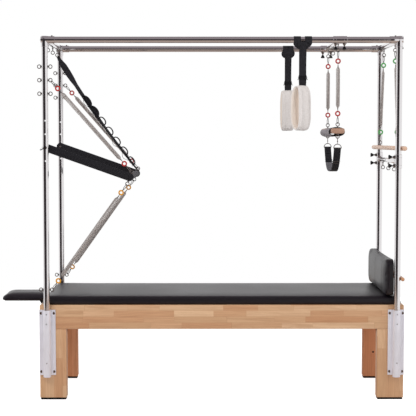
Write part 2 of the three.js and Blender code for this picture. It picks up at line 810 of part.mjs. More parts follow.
const leftEyes = [-CROSS_EYE_Y, 0, CROSS_EYE_Y];
const rightEyes = [-CROSS_EYE_Y, CROSS_EYE_Y];
addMesh(canopy, "end_rail_left", endRailGeometry(-1, leftEyes), chrome, -POST_X, 0, RAIL_Z);
addMesh(canopy, "end_rail_right", endRailGeometry(1, rightEyes), chrome, POST_X, 0, RAIL_Z);

// Push-through bar, modelled level and then dropped to its angle: two arms, a cross bar and two grips.
const pushBar = new THREE.Group();
pushBar.position.set(-POST_X, 0, PIVOT_Z);
pushBar.rotation.y = ARM_DROP;
table.add(pushBar);

function armGeometry(side) {
  const shape = new THREE.Shape();
  shape.absarc(0, 0, ARM_R, Math.PI / 2, (3 * Math.PI) / 2);
  shape.absarc(ARM_LENGTH, 0, ARM_R, -Math.PI / 2, Math.PI / 2);
  shape.closePath();
  const arm = upright(shape, ARM_THICK, ARM_EASE).translate(0, side * ARM_Y, 0);
  const postFront = POST_Y + TUBE_R + RUNNING_GAP;
  const headEnd = postFront + PIN_HEAD;
  const lever = vec(-PIN_LEVER, 0, -PIN_LEVER / 2);
  lever.y = side * (postFront + PIN_HEAD / 2);
  return join(
    arm,
    rod(vec(0, side * ARM_Y, 0), vec(0, side * headEnd, 0), PIN_R, SMALL_SIDES),
    rod(vec(0, side * postFront, 0), vec(0, side * headEnd, 0), PIN_HEAD_R, TUBE_SIDES),
    rod(vec(0, side * (postFront + PIN_HEAD / 2), 0), lever, PIN_LEVER_R, WIRE_SIDES),
    rod(vec(0, side * ARM_Y, 0), vec(0, side * (ARM_INNER - BUTTON_HEIGHT), 0), BUTTON_R, SMALL_SIDES),
    eyebolt(vec(ARM_LENGTH, side * ARM_Y, ARM_R - EYE_R), vec(ARM_LENGTH, side * ARM_Y, ARM_EYE_UP)),
    eyebolt(vec(ARM_LENGTH, side * ARM_Y, EYE_R - ARM_R), vec(ARM_LENGTH, side * ARM_Y, -ARM_EYE_DOWN)),
  );
}

for (const [sideName, side] of SIDES) {
  addMesh(pushBar, `push_bar_arm_${sideName}`, armGeometry(side), blackPaint);
  const from = side * GRIP_MIDDLE_GAP;
  const to = side * (ARM_INNER - GRIP_END_GAP);
  const grip = pipe(vec(0, from, 0), vec(0, to, 0), GRIP_R, CROSS_BAR_R + SEAT_GAP);
  addMesh(pushBar, `push_bar_grip_${sideName}`, grip, foam, ARM_LENGTH);
}
const crossReach = ARM_INNER - SEAT_GAP;
const crossBar = rod(vec(0, -crossReach, 0), vec(0, crossReach, 0), CROSS_BAR_R);
addMesh(pushBar, "push_bar_cross_bar", crossBar, blackPaint, ARM_LENGTH);

// Springs of the push-through bar: red ones from above, yellow ones from below.
table.updateMatrixWorld(true);
const sprungZ = PIVOT_Z + SPRUNG_STEP * HOLE_PITCH;
const postEyeX = POST_EYE_REACH - POST_X;
for (const [sideName, side] of SIDES) {
  const upper = pushBar.localToWorld(vec(ARM_LENGTH, side * ARM_Y, ARM_EYE_UP));
  const lower = pushBar.localToWorld(vec(ARM_LENGTH, side * ARM_Y, -ARM_EYE_DOWN));
  const above = springBetween(vec(postEyeX, side * POST_Y, sprungZ), upper);
  const below = springBetween(vec(postEyeX, side * POST_Y, LOW_EYE_Z), lower);
  addMesh(table, `push_spring_upper_${sideName}`, above, steel);
  addMesh(table, `push_spring_lower_${sideName}`, below, steel);
}

// Safety strap from the left cross rail to the rear end of the push-through bar, with its row of open loops.
function safetyStrapGeometry(from, to) {
  const flat = to.clone().sub(from).setY(0).normalize();
  const start = from.clone().addScaledVector(flat, EYE_R + EYE_WIRE + SEAT_GAP);
  const end = to.clone().addScaledVector(flat, -EYE_R - EYE_WIRE - SEAT_GAP);
  const length = start.distanceTo(end);
  const pieces = [block(STRAP_THICK, STRAP_WIDTH, length, 0, 0, length / 2)];
  for (let index = 1; index <= STRAP_LOOPS; index++) {
    const loop = new THREE.TorusGeometry(
      STRAP_LOOP_R,
      STRAP_LOOP_WIRE,
      WIRE_SIDES,
      2 * STRAP_LOOP_STEPS,
    ).rotateX(Math.PI / 2);
    const at = length - (index - 1 / 2) * STRAP_PITCH;
    const half = block(
      STRAP_LOOP_R + 2 * STRAP_LOOP_WIRE,
      STRAP_WIDTH,
      2 * STRAP_LOOP_R + STRAP_PITCH / 2,
      -(STRAP_LOOP_R + 2 * STRAP_LOOP_WIRE) / 2,
      0,
      0,
    );
    pieces.push(cut(loop, half).translate(0, 0, at));
  }
  const way = end.clone().sub(start).normalize();
  const rise = way.clone().cross(Y_AXIS).negate().normalize();
  const across = way.clone().cross(rise);
  const place = new THREE.Matrix4().makeBasis(rise, across, way).setPosition(start);
  return join(...pieces).applyMatrix4(place);
}

const strapTop = vec(-POST_X, CROSS_EYE_Y, RAIL_Z - CROSS_EYE_DROP);
const strapTurn = CROSS_BAR_R + 2 * EYE_WIRE;
const strapFoot = pushBar.localToWorld(vec(ARM_LENGTH, ARM_INNER - STRAP_WIDTH, strapTurn + EYE_R));
addMesh(table, "safety_strap", safetyStrapGeometry(strapTop, strapFoot), webbing);

// A slider: a clamp collar round each of two tubes along X, a cross tube along Y, bosses and studs for the
// knobs on the -Z side, and eyebolts on the given side of the cross tube.
function sliderGeometry(eyeWay, eyePlaces, eyeReach) {
  const outer = [rod(vec(0, -POST_Y, 0), vec(0, POST_Y, 0), SLIDER_TUBE_R, TUBE_SIDES)];
  const bores = [rod(vec(0, -POST_Y, 0), vec(0, POST_Y, 0), SLIDER_TUBE_R - TUBE_WALL, TUBE_SIDES)];
  const half = COLLAR_LENGTH / 2;
  const studs = [];
  for (const side of [-1, 1]) {
    const y = side * POST_Y;
    outer.push(rod(vec(-half, y, 0), vec(half, y, 0), COLLAR_R));
    bores.push(rod(vec(-half - OVERRUN, y, 0), vec(half + OVERRUN, y, 0), FIT_R));
    for (const way of [-1, 1]) {
      const x = way * CLAMP_HALF_PITCH;
      const neck = -COLLAR_R - CLAMP_BOSS_DEPTH;
      studs.push(
        rod(vec(x, y, neck), vec(x, y, SINK - COLLAR_R), CLAMP_NECK_R, SMALL_SIDES, CLAMP_BOSS_R),
        rod(vec(x, y, neck - STUD_LENGTH), vec(x, y, neck + SINK), STUD_R, SMALL_SIDES),
      );
    }
  }
  const wall = SLIDER_TUBE_R - TUBE_WALL / 2;
  const eyes = eyePlaces.map((y) => {
    const root = vec(0, y, 0).addScaledVector(eyeWay, wall);
    return eyebolt(root, vec(0, y, 0).addScaledVector(eyeWay, eyeReach));
  });
  return join(cut(join(...outer, ...studs), ...bores), ...eyes);
}

// A cone-shaped knob, wide end away from its boss, with a blind bore for the stud.
function knobGeometry() {
  const top = -COLLAR_R - CLAMP_BOSS_DEPTH - KNOB_GAP;
  const bottom = top - KNOB_DEPTH;
  const boreEnd = -COLLAR_R - CLAMP_BOSS_DEPTH - STUD_LENGTH - SEAT_GAP;
  const profile = [
    [0, bottom],
    [KNOB_R - KNOB_RIM / 2, bottom],
    [KNOB_R, bottom + KNOB_RIM],
    [KNOB_TOP_R, top],
    [STUD_R + RUNNING_GAP, top],
    [STUD_R + RUNNING_GAP, boreEnd],
    [0, boreEnd],
  ].map(([radius, height]) => new THREE.Vector2(radius, height));
  return new THREE.LatheGeometry(profile, KNOB_SIDES).rotateX(Math.PI / 2);
}

function addSlider(name, x, z, turn, eyeWay, eyePlaces, eyeReach) {
  const slider = new THREE.Group();
  slider.position.set(x, 0, z);
  slider.rotation.y = turn;
  table.add(slider);
  addMesh(slider, name, sliderGeometry(eyeWay, eyePlaces, eyeReach), chrome);
  for (const [sideName, side] of SIDES) {
    for (const [number, way] of [
      [1, -1],
      [2, 1],
    ]) {
      const knob = `${name}_knob_${sideName}_${number}`;
      addMesh(slider, knob, knobGeometry(), darkRubber, way * CLAMP_HALF_PITCH, side * POST_Y);
    }
  }
}

const topEyes = [-SLIDER_EYE_Y, 0, SLIDER_EYE_Y];
addSlider("top_slider", SLIDER_X, RAIL_Z, 0, DOWN, topEyes, SLIDER_EYE_DROP);
const rollEyes = [-CROSS_EYE_Y, 0, CROSS_EYE_Y];
addSlider("roll_slider", POST_X, SLIDER_Z, Math.PI / 2, X_AXIS, rollEyes, ROLL_SLIDER_EYE_DROP);

// Trapeze: two springs, a flat wooden bar with an eyebolt above and below at each end, and a foam pad.
const barMiddleZ = TRAPEZE_BAR_TOP - TRAPEZE_BAR_DEPTH / 2;
const lowEyeZ = TRAPEZE_BAR_TOP - TRAPEZE_BAR_DEPTH - TRAPEZE_LOW_EYE;

function trapezeBarGeometry() {
  const section = easedRectangle(TRAPEZE_BAR_WIDTH, TRAPEZE_BAR_DEPTH, TRAPEZE_BAR_ROUND);
  const bar = upright(section, TRAPEZE_BAR_LENGTH, 0);
  const eyes = [-1, 1].flatMap((side) =>
    [TRAPEZE_EYE_Z, lowEyeZ].map((z) =>
      eyebolt(vec(0, side * SLIDER_EYE_Y, 0), vec(0, side * SLIDER_EYE_Y, z - barMiddleZ)),
    ),
  );
  return join(bar, ...eyes);
}

function trapezePadGeometry() {
  const outline = [];
  for (let step = 0; step < TRAPEZE_PAD_POINTS; step++) {
    const angle = (step / TRAPEZE_PAD_POINTS) * 2 * Math.PI;
    outline.push(
      new THREE.Vector2(
        (TRAPEZE_PAD_WIDTH / 2) * Math.cos(angle),
        (TRAPEZE_PAD_DEPTH / 2) * Math.sign(Math.sin(angle)) * Math.abs(Math.sin(angle)) ** 0.8,
      ),
    );
  }
  const pad = upright(new THREE.Shape(outline), TRAPEZE_PAD_LENGTH, 0);
  const hole = easedRectangle(
    TRAPEZE_BAR_WIDTH + 2 * SEAT_GAP,
    TRAPEZE_BAR_DEPTH + 2 * SEAT_GAP,
    TRAPEZE_BAR_ROUND,
  );
  return cut(pad, upright(hole, TRAPEZE_PAD_LENGTH + 2 * OVERRUN, 0));
}

addMesh(table, "trapeze_bar", trapezeBarGeometry(), wood, SLIDER_X, 0, barMiddleZ);
addMesh(table, "trapeze_pad", trapezePadGeometry(), foam, SLIDER_X, 0, barMiddleZ);
for (const [sideName, side] of SIDES) {
  const eyeTop = vec(SLIDER_X, side * SLIDER_EYE_Y, RAIL_Z - SLIDER_EYE_DROP);
  const eyeBottom = vec(SLIDER_X, side * SLIDER_EYE_Y, TRAPEZE_EYE_Z);
  addMesh(table, `trapeze_spring_${sideName}`, springBetween(eyeTop, eyeBottom), steel);
}

// Foot strap: a hook and a D-ring at each end and one band of webbing that hangs between them.
function footStrapGeometry() {
  const depth = FOOT_RING_Z - FOOT_STRAP_BOTTOM;
  const height = (share) => FOOT_STRAP_BOTTOM + depth * Math.abs(share) ** FOOT_STRAP_POWER;
  const outer = [];
  const inner = [];
  for (let step = 0; step <= FOOT_STRAP_STEPS; step++) {
    const share = (2 * step) / FOOT_STRAP_STEPS - 1;
    const slope = (depth * FOOT_STRAP_POWER * Math.abs(share) ** (FOOT_STRAP_POWER - 1)) / SLIDER_EYE_Y;
    const lean = Math.atan(slope * Math.sign(share));
    const y = share * SLIDER_EYE_Y;
    const z = height(share);
    const half = WEBBING_THICK / 2;
    outer.push(new THREE.Vector2(y + half * Math.sin(lean), z - half * Math.cos(lean)));
    inner.unshift(new THREE.Vector2(y - half * Math.sin(lean), z + half * Math.cos(lean)));
  }
  const band = new THREE.ExtrudeGeometry(new THREE.Shape([...outer, ...inner]), {
    depth: WEBBING_WIDTH,
    bevelEnabled: false,
  });
  band.translate(0, 0, -WEBBING_WIDTH / 2).rotateX(Math.PI / 2).rotateZ(Math.PI / 2);
  const pieces = [band];
  for (const side of [-1, 1]) {
    const y = side * SLIDER_EYE_Y;
    const inside = EYE_R - EYE_WIRE - HOOK_WIRE - HOOK_GAP;
    const hookTop = lowEyeZ - inside;
    const half = cut(
      ring(vec(0, y, FOOT_RING_Z), Y_AXIS, FOOT_RING_R, FOOT_RING_WIRE, 2 * SMALL_SIDES),
      block(
        2 * (FOOT_RING_R + OVERRUN),
        2 * FOOT_RING_R,
        FOOT_RING_R + OVERRUN,
        0,
        y,
        FOOT_RING_Z - (FOOT_RING_R + OVERRUN) / 2,
      ),
    );
    pieces.push(
      half,
      rod(vec(-FOOT_RING_R, y, FOOT_RING_Z), vec(FOOT_RING_R, y, FOOT_RING_Z), 1.2 * FOOT_RING_WIRE, SMALL_SIDES),
      ring(vec(0, y, hookTop - HOOK_R), X_AXIS, HOOK_R, HOOK_WIRE),
      rod(vec(0, y, hookTop - 2 * HOOK_R), vec(0, y, FOOT_RING_Z + FOOT_RING_R), HOOK_WIRE, WIRE_SIDES),
    );
  }
  return join(...pieces);
}

addMesh(table, "foot_strap", footStrapGeometry(), webbing, SLIDER_X);

// A closed band in the Y-Z plane whose width lies along X, with its long edges folded thin.
function loopBand(pointAt, steps, width, wall, fold) {
  const section = [
    [-width / 2, 0],
    [fold - width / 2, wall / 2],
    [width / 2 - fold, wall / 2],
    [width / 2, 0],
    [width / 2 - fold, -wall / 2],
    [fold - width / 2, -wall / 2],
  ];
  const places = [];
  const faces = [];
  for (let step = 0; step < steps; step++) {
    const angle = (step / steps) * 2 * Math.PI;
    const way = pointAt(angle + MERGE).sub(pointAt(angle - MERGE)).normalize();
    const out = vec(0, -way.z, way.y);
    for (const [across, off] of section) {
      places.push(...pointAt(angle).addScaledVector(out, off).addScaledVector(X_AXIS, across));
    }
    for (let corner = 0; corner < section.length; corner++) {
      const a = step * section.length + corner;
      const b = step * section.length + ((corner + 1) % section.length);
      const c = ((step + 1) % steps) * section.length + corner;
      const d = ((step + 1) % steps) * section.length + ((corner + 1) % section.length);
      faces.push(a, b, d, a, d, c);
    }
  }
  const geometry = new THREE.BufferGeometry();
  geometry.setAttribute("position", new THREE.Float32BufferAttribute(places, 3));
  return geometry.setIndex(faces);
}

// The middle line of a fleece loop, narrower above than below.
function fleecePoint(angle) {
  const half = ((FLEECE_THICK - FLEECE_WALL) / 2) * (1 - FLEECE_TAPER_SHARE * Math.cos(angle));
  const rise = (FLEECE_LENGTH - FLEECE_WALL) / 2;
  return vec(0, half * Math.sin(angle), rise * Math.cos(angle));
}

// A sling: two wraps of webbing round its rail, a strap with its adjuster, and a loop of fleece.
function slingGeometry(turn) {
  const wraps = [-1, 1].map((way) => {
    const near = way * (WRAP_GAP / 2);
    const far = way * (WRAP_GAP / 2 + WRAP_WIDTH);
    return pipe(vec(near, 0, 0), vec(far, 0, 0), WRAP_R, FIT_R);
  });
  const bridge = block(WRAP_WIDTH, WRAP_BRIDGE, WRAP_R - FIT_R, 0, 0, -(WRAP_R + FIT_R) / 2 - SINK / 2);
  const strapBottom = FLEECE_DROP + FLEECE_WALL / 2;
  const strapLength = strapBottom - WRAP_R;
  const strap = block(WEBBING_WIDTH, WEBBING_THICK, strapLength, 0, 0, -(WRAP_R + strapBottom) / 2);
  const adjuster = block(ADJUSTER_WIDTH, ADJUSTER_THICK, ADJUSTER_DEPTH, 0, 0, -ADJUSTER_DROP);
  const fleeceLoop = loopBand(fleecePoint, FLEECE_POINTS, FLEECE_BAND, FLEECE_WALL, FLEECE_FOLD);
  fleeceLoop.rotateZ(turn).translate(0, 0, -FLEECE_DROP - FLEECE_LENGTH / 2);
  return join(...wraps, bridge, strap, adjuster, fleeceLoop);
}

addMesh(table, "sling_front", slingGeometry(FRONT_SLING_TURN), fleece, FRONT_SLING_X, -POST_Y, RAIL_Z);
addMesh(table, "sling_rear", slingGeometry(REAR_SLING_TURN), fleece, REAR_SLING_X, POST_Y, RAIL_Z);

// Roll-down bar: a dowel that rests against the outside of the front post and the inside of the rear one.
const rollBar = new THREE.Group();
rollBar.position.set(POST_X, 0, ROLL_BAR_Z);
rollBar.rotation.z = ROLL_BAR_TURN;
table.add(rollBar);
const rollHalf = ROLL_BAR_LENGTH / 2;
const rollDowel = rod(vec(0, -rollHalf, 0), vec(0, rollHalf, 0), DOWEL_R, TUBE_SIDES);
const rollBolts = rightEyes.map((y) => eyebolt(vec(0, y, 0), vec(0, y, ROLL_EYE_RISE)));
addMesh(rollBar, "roll_down_bar", join(rollDowel, ...rollBolts), wood);
table.updateMatrixWorld(true);
for (const [sideName, side] of SIDES) {
  const eyeBottom = rollBar.localToWorld(vec(0, side * CROSS_EYE_Y, ROLL_EYE_RISE));
  const eyeTop = vec(POST_X, side * CROSS_EYE_Y, RAIL_Z - CROSS_EYE_DROP);
  addMesh(table, `roll_spring_${sideName}`, springBetween(eyeTop, eyeBottom, ROLL_SPRING_R), steel);
}

// Back pad against the inside of the right posts, and the dowel outside them that keeps it there.
const padBack = POST_X - TUBE_R - SEAT_GAP;
const backPad = cushion({
  length: PAD_HEIGHT,
  width: PAD_LENGTH,
  height: PAD_THICK,
  corner: PAD_CORNER,
  roll: PAD_ROLL,
  crown: PAD_CROWN,
  drawn: PAD_DRAWN,
}).rotateY(-Math.PI / 2);
addMesh(table, "back_pad", backPad, vinyl, padBack, 0, MATTRESS_TOP + SEAT_GAP + PAD_HEIGHT / 2);
const dowelX = POST_X + TUBE_R + RUNNING_GAP + PAD_DOWEL_R;
const padDowel = dowel(PAD_DOWEL_LENGTH, PAD_DOWEL_R);
const spacers = [-1, 1].map((side) =>
  rod(
    vec(padBack + SEAT_GAP - dowelX, side * PAD_SPACER_Y, 0),
    vec(0, side * PAD_SPACER_Y, 0),
    PAD_SPACER_R,
    SMALL_SIDES,
  ),
);
addMesh(table, "back_pad_dowel", join(padDowel, ...spacers), wood, dowelX, 0, PAD_DOWEL_Z);

// Extension at the left end: a cushion on a board whose two tongues slide in the left apron.
const extensionX = -HALF_LENGTH - EXTENSION_END_GAP - EXTENSION_LENGTH / 2;
const extensionCushion = cushion({
  length: EXTENSION_LENGTH,
  width: EXTENSION_WIDTH,
  height: EXTENSION_HEIGHT,
  corner: EXTENSION_CORNER,
  roll: EXTENSION_ROLL,
  crown: EXTENSION_CROWN,
  drawn: EXTENSION_DRAWN,
});
const extensionBottom = EXTENSION_TOP - EXTENSION_HEIGHT;
addMesh(table, "extension_cushion", extensionCushion, vinyl, extensionX, 0, extensionBottom);
const boardTop = extensionBottom - SEAT_GAP;
const boardLength = EXTENSION_LENGTH - 2 * EXTENSION_BOARD_INSET;
const boardWidth = EXTENSION_WIDTH - 2 * EXTENSION_BOARD_INSET;
const tongueFrom = extensionX - boardLength / 2 + EXTENSION_BOARD_INSET;
const tongueTo = TONGUE_INSIDE - HALF_LENGTH;
const tongues = [-1, 1].map((side) =>
  block(
    tongueTo - tongueFrom,
    TONGUE_WIDTH,
    TONGUE_DEPTH,
    (tongueFrom + tongueTo) / 2,
    side * TONGUE_Y,
    tongueZ,
  ),
);
const boardHeight = boardTop - (tongueZ + TONGUE_DEPTH / 2) + SINK;
const extensionBoard = easedBlock(boardLength, boardWidth, boardHeight, WOOD_EASE / 2);
extensionBoard.translate(extensionX, 0, boardTop - boardHeight / 2);
addMesh(table, "extension_board", join(extensionBoard, ...tongues), wood);
console.log(`least gap between the curls of a spring: ${leastSpringGap.toFixed(2)} mm`);

// The whole table is set with the origin under its middle.
const box = new THREE.Box3().setFromObject(table, true);
table.position.set(-(box.min.x + box.max.x) / 2, -(box.min.y + box.max.y) / 2, -box.min.z);

export default table;
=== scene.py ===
"""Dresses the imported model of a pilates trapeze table: block-board base, padded top, tube canopy and its gear."""

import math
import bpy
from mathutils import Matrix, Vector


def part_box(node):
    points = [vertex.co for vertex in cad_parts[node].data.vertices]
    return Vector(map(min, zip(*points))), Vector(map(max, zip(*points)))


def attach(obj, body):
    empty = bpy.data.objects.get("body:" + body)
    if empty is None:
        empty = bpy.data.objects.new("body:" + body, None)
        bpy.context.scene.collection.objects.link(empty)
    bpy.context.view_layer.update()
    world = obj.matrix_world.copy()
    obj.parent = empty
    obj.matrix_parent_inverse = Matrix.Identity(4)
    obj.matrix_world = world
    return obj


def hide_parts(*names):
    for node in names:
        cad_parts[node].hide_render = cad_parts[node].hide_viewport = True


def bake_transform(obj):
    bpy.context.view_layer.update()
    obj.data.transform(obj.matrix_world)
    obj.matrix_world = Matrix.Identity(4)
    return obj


bl_info = {
    "name": "Pilates Trapeze Table",
    "version": (1, 0, 0),
    "blender": (4, 5, 0),
    "location": "View3D > Sidebar > Trapeze Table",
    "description": "Builds the detailed pieces and finishes of a pilates trapeze table round its packed frame",
    "category": "Add Mesh",
}

import bmesh
import bpy
import numpy as np
from mathutils import Matrix, Vector, noise
from mathutils.bvhtree import BVHTree

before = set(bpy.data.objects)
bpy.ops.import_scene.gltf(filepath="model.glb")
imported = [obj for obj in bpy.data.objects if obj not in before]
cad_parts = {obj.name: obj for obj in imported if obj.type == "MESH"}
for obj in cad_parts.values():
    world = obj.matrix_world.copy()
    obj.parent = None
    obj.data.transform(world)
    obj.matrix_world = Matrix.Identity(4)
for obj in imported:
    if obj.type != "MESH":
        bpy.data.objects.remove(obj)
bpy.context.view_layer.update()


def middle(node):
    low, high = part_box(node)
    return (low + high) / 2


# All sizes are metres from the point on the floor under the middle of the table, +X to the roll-down end.
FLOOR_POINT = Vector((middle("rail_front").x, (middle("rail_front").y + middle("rail_rear").y) / 2, 0))
POST_X = middle("post_front_right").x - FLOOR_POINT.x
POST_Y = FLOOR_POINT.y - middle("rail_front").y
RAIL_Z = middle("rail_front").z
SIDES = (("front", -1), ("rear", 1))
ENDS = (("left", -1), ("right", 1))
CORNERS = [(f"{side_name}_{end_name}", end, side) for end_name, end in ENDS for side_name, side in SIDES]
X, Y, Z = Vector((1, 0, 0)), Vector((0, 1, 0)), Vector((0, 0, 1))
HALF_BASE, HALF_WIDTH, APRON_LOW, APRON_HIGH = 1.1, 0.35, 0.431, 0.577
TUBE_R, EYE_R, EYE_WIRE = 0.019, 0.0105, 0.0025
ARM_LENGTH, ARM_DROP, ARM_Y, BAR_Y = 0.530, math.radians(19.5), 0.3542, 0.3482
PIVOT = Vector((-POST_X, 0, 1.526))
SLIDER_X, ROLL_SLIDER_Z = 0.699, 1.444
TOP_EYE_Y, TOP_EYE_DROP, END_EYE_Y, END_EYE_DROP = 0.285, 0.054, 0.225, 0.050
POST_EYE_LEVELS, POST_EYE_OUT = (0.675, 1.846, 1.926, 2.006), 0.033
BAR_EYE_UP, BAR_EYE_DOWN = 0.034, -0.042
TRAPEZE_EYE_HIGH, TRAPEZE_EYE_LOW, EYE_SEAT = 1.665, 1.592, 0.0053
MATTRESS_LOW, MATTRESS_DEPTH, CLEAR = 0.5773, 0.056, 0.0003
POINT = 1e-7
SHARP = math.radians(35)


def rgb(red, green, blue):
    """A colour as the shader wants it, from its 0 to 255 screen values."""
    parts = (red / 255, green / 255, blue / 255)
    return tuple(c / 12.92 if c <= 0.04045 else ((c + 0.055) / 1.055) ** 2.4 for c in parts) + (1.0,)


def tinted(colour, *factors):
    """A colour with its three parts multiplied by one factor or by three."""
    return tuple(c * k for c, k in zip(colour, factors * (3 // len(factors)))) + (1.0,)


def put(name, data):
    """A new object of the scene."""
    made = bpy.data.objects.new(name, data)
    bpy.context.scene.collection.objects.link(made)
    return made


# Finishes --------------------


class Nodes:
    """Adds nodes to a tree."""

    def __init__(self, tree):
        self.tree = tree

    def add(self, kind, inputs=(), output=0, **settings):
        """Makes a node: its settings first, then the values or links of its sockets, by place or by name."""
        made = self.tree.nodes.new(kind)
        for setting, value in settings.items():
            setattr(made, setting, value)
        for socket, value in inputs.items() if isinstance(inputs, dict) else enumerate(inputs):
            for one in value if isinstance(value, list) else [value]:
                one = getattr(one, "socket", one)
                if isinstance(one, bpy.types.NodeSocket):
                    self.tree.links.new(one, made.inputs[socket])
                elif one is not None:
                    made.inputs[socket].default_value = one
        return made.outputs[output] if made.outputs else made


class Shade:
    """One value or colour in a finish, so that node maths is written as a Python expression."""

    def __init__(self, finish, socket):
        self.finish, self.socket = finish, socket

    def __rsub__(self, other):
        return self.finish.node("ShaderNodeMath", [other, self], operation="SUBTRACT")

    def fit(self, low, high, to_low=0.0, to_high=1.0):
        return self.finish.node("ShaderNodeMapRange", [self, low, high, to_low, to_high], clamp=True)


def shade_maths(operation):
    return lambda self, *others: self.finish.node("ShaderNodeMath", [self, *others], operation=operation)


for methods, operation in (
    ("__add__ __radd__", "ADD"),
    ("__mul__ __rmul__", "MULTIPLY"),
    ("__sub__", "SUBTRACT"),
    ("__truediv__", "DIVIDE"),
    ("__abs__", "ABSOLUTE"),
    ("floor", "FLOOR"),
    ("part", "FRACT"),
    ("wave", "SINE"),
    ("larger", "MAXIMUM"),
):
    for method in methods.split():
        setattr(Shade, method, shade_maths(operation))


class Finish(Nodes):
    """A material of one Principled shader; what changes over the surface is set from shade expressions."""

    def __init__(self, name, colour, roughness, metallic=0.0, **even):
        self.material = bpy.data.materials.new(name)
        self.material.use_nodes = True
        self.material.diffuse_color = colour
        super().__init__(self.material.node_tree)
        self.shader = self.tree.nodes["Principled BSDF"]
        for socket, value in {"Base Color": colour, "Roughness": roughness, "Metallic": metallic, **even}.items():
            self.shader.inputs[socket].default_value = value
        self.coordinates = self.tree.nodes.new("ShaderNodeTexCoord")

    def node(self, *given, **settings):
        return Shade(self, self.add(*given, **settings))

    def set(self, socket, shade):
        self.tree.links.new(shade.socket, self.shader.inputs[socket])

    def place(self, layout="Object"):
        """The point on the surface: in metres in the row frame, or on the piece's own layout."""
        return Shade(self, self.coordinates.outputs[layout])

    def axes(self, vector):
        """The three parts of a vector."""
        first = self.node("ShaderNodeSeparateXYZ", [vector])
        return [Shade(self, output) for output in first.socket.node.outputs]

    def vector(self, x, y, z):
        return self.node("ShaderNodeCombineXYZ", [x, y, z])

    def noise(self, vector, scale, detail=2.0, roughness=0.5, distortion=0.0):
        sockets = {"Vector": vector, "Scale": scale, "Detail": detail, "Roughness": roughness}
        return self.node("ShaderNodeTexNoise", {**sockets, "Distortion": distortion})

    def cells(self, vector, scale, feature="F1"):
        return self.node("ShaderNodeTexVoronoi", {"Vector": vector, "Scale": scale}, "Distance", feature=feature)

    def chance(self, x, y, z):
        """A number from 0 to 1 that is the same wherever x, y and z are the same."""
        return self.node("ShaderNodeTexWhiteNoise", {"Vector": self.vector(x, y, z)}, "Value", noise_dimensions="3D")

    def mix(self, share, first, second):
        """The colour between two colours."""
        return self.node("ShaderNodeMix", {0: share, 6: first, 7: second}, 2, data_type="RGBA")

    def bump(self, height, depth, strength):
        """Raises the surface by a height of 0 to 1 times a depth in metres."""
        sockets = {"Height": height, "Distance": depth, "Strength": strength}
        self.set("Normal", self.node("ShaderNodeBump", sockets))


WOOD_TONES = ((1.36, 1.46, 1.5), (1.02, 0.82, 0.68), (1.1, 1.06, 0.98))


def wood_finish(name, look, way, lamella, block, seed, tint=(1.0, 1.0, 1.0)):
    """Lamellas of rubberwood glued into a board: staggered blocks, thin glue lines, streaks and pores.

    way names the axes along the lamellas, across them and through the board.
    """
    finish = Finish(name, look.wood, 0.42, **{"Coat Weight": 0.12, "Coat Roughness": 0.25})
    # tint multiplies the colour; the rear legs use it for painted shade.
    base = tinted(look.wood, *tint)
    parts = dict(zip("XYZ", finish.axes(finish.place())))
    run, wide, deep = (parts[axis] for axis in way)
    row_place = wide / lamella + seed * 0.37
    row = row_place.floor()
    layer = (deep / 0.036 + seed * 0.53).floor()
    shift = finish.chance(row, layer, seed)
    stagger = run / block + shift * 9.0
    stagger = stagger + ((stagger * 2.3 + shift * 20.0).wave()) * 0.22
    number = stagger.floor()
    tone = finish.chance(row, number, layer + seed)
    warmth = finish.chance(number, row, layer + seed + 5.0)
    x, y, z = finish.axes(finish.vector(run + tone * 3.0, wide + warmth * 2.0, deep + tone * 5.0))

    def grain_noise(along, across, *rest):
        """Noise drawn out along the grain."""
        return finish.noise(finish.vector(x * along, y * across, z * across), 1.0, *rest)

    streaks = grain_noise(5.0, 90.0, 4.0, 0.62, 0.6)
    arches = ((y + grain_noise(3.2, 9.0) * 0.05) * 520.0).wave()
    pores = grain_noise(55.0, 900.0, 1.0).fit(0.66, 0.74)
    wide_streaks = grain_noise(2.2, 26.0, 3.0, 0.6, 1.2)
    pale, reddish, deep_tone = (tinted(base, *factors) for factors in WOOD_TONES)
    dark = tinted(base, 0.68, 0.47, 0.34)
    colour = finish.mix(tone, pale, deep_tone)
    colour = finish.mix(warmth.fit(0.45, 1.0, 0.0, 0.75), colour, reddish)
    grain = streaks.fit(0.34, 0.7) * 0.5 + arches.fit(-1.0, 1.0) * warmth * 0.22
    edge = lambda place, size: (0.5 - abs(place.part() - 0.5)) * size
    joints = edge(row_place, lamella).fit(0.0002, 0.0009, 1.0, 0.0)
    joints = joints.larger(edge(stagger, block).fit(0.0002, 0.0012, 1.0, 0.0))
    for share in (grain * 0.62, wide_streaks.fit(0.52, 0.72) * 0.34, pores * 0.35, joints * 0.4):
        colour = finish.mix(share, colour, dark)
    finish.set("Base Color", colour)
    finish.set("Roughness", streaks.fit(0.2, 0.8, 0.36, 0.5))
    finish.bump(1.0 - joints * 0.8 - pores * 0.5 + streaks * 0.2, 0.0003, 0.6)
    return finish.material


def turned_wood_finish(name, wood, seed):
    """Plain turned wood, one grain from end to end along Y."""
    finish = Finish(name, wood, 0.4, **{"Coat Weight": 0.15, "Coat Roughness": 0.2})
    drawn = [part * scale for part, scale in zip(finish.axes(finish.place()), (130.0, 6.0, 130.0))]
    streaks = finish.noise(finish.vector(*drawn), 1.0, 5.0, 0.6, 0.8)
    tone = finish.noise(finish.vector(*(part / 7.0 + seed for part in drawn)), 1.0, 2.0)
    colour = finish.mix(tone.fit(0.3, 0.7), tinted(wood, 1.08), wood)
    finish.set("Base Color", finish.mix(streaks.fit(0.45, 0.75) * 0.4, colour, tinted(wood, 0.6, 0.46, 0.36)))
    finish.set("Roughness", streaks.fit(0.2, 0.8, 0.32, 0.48))
    finish.bump(streaks, 0.0002, 0.4)
    return finish.material


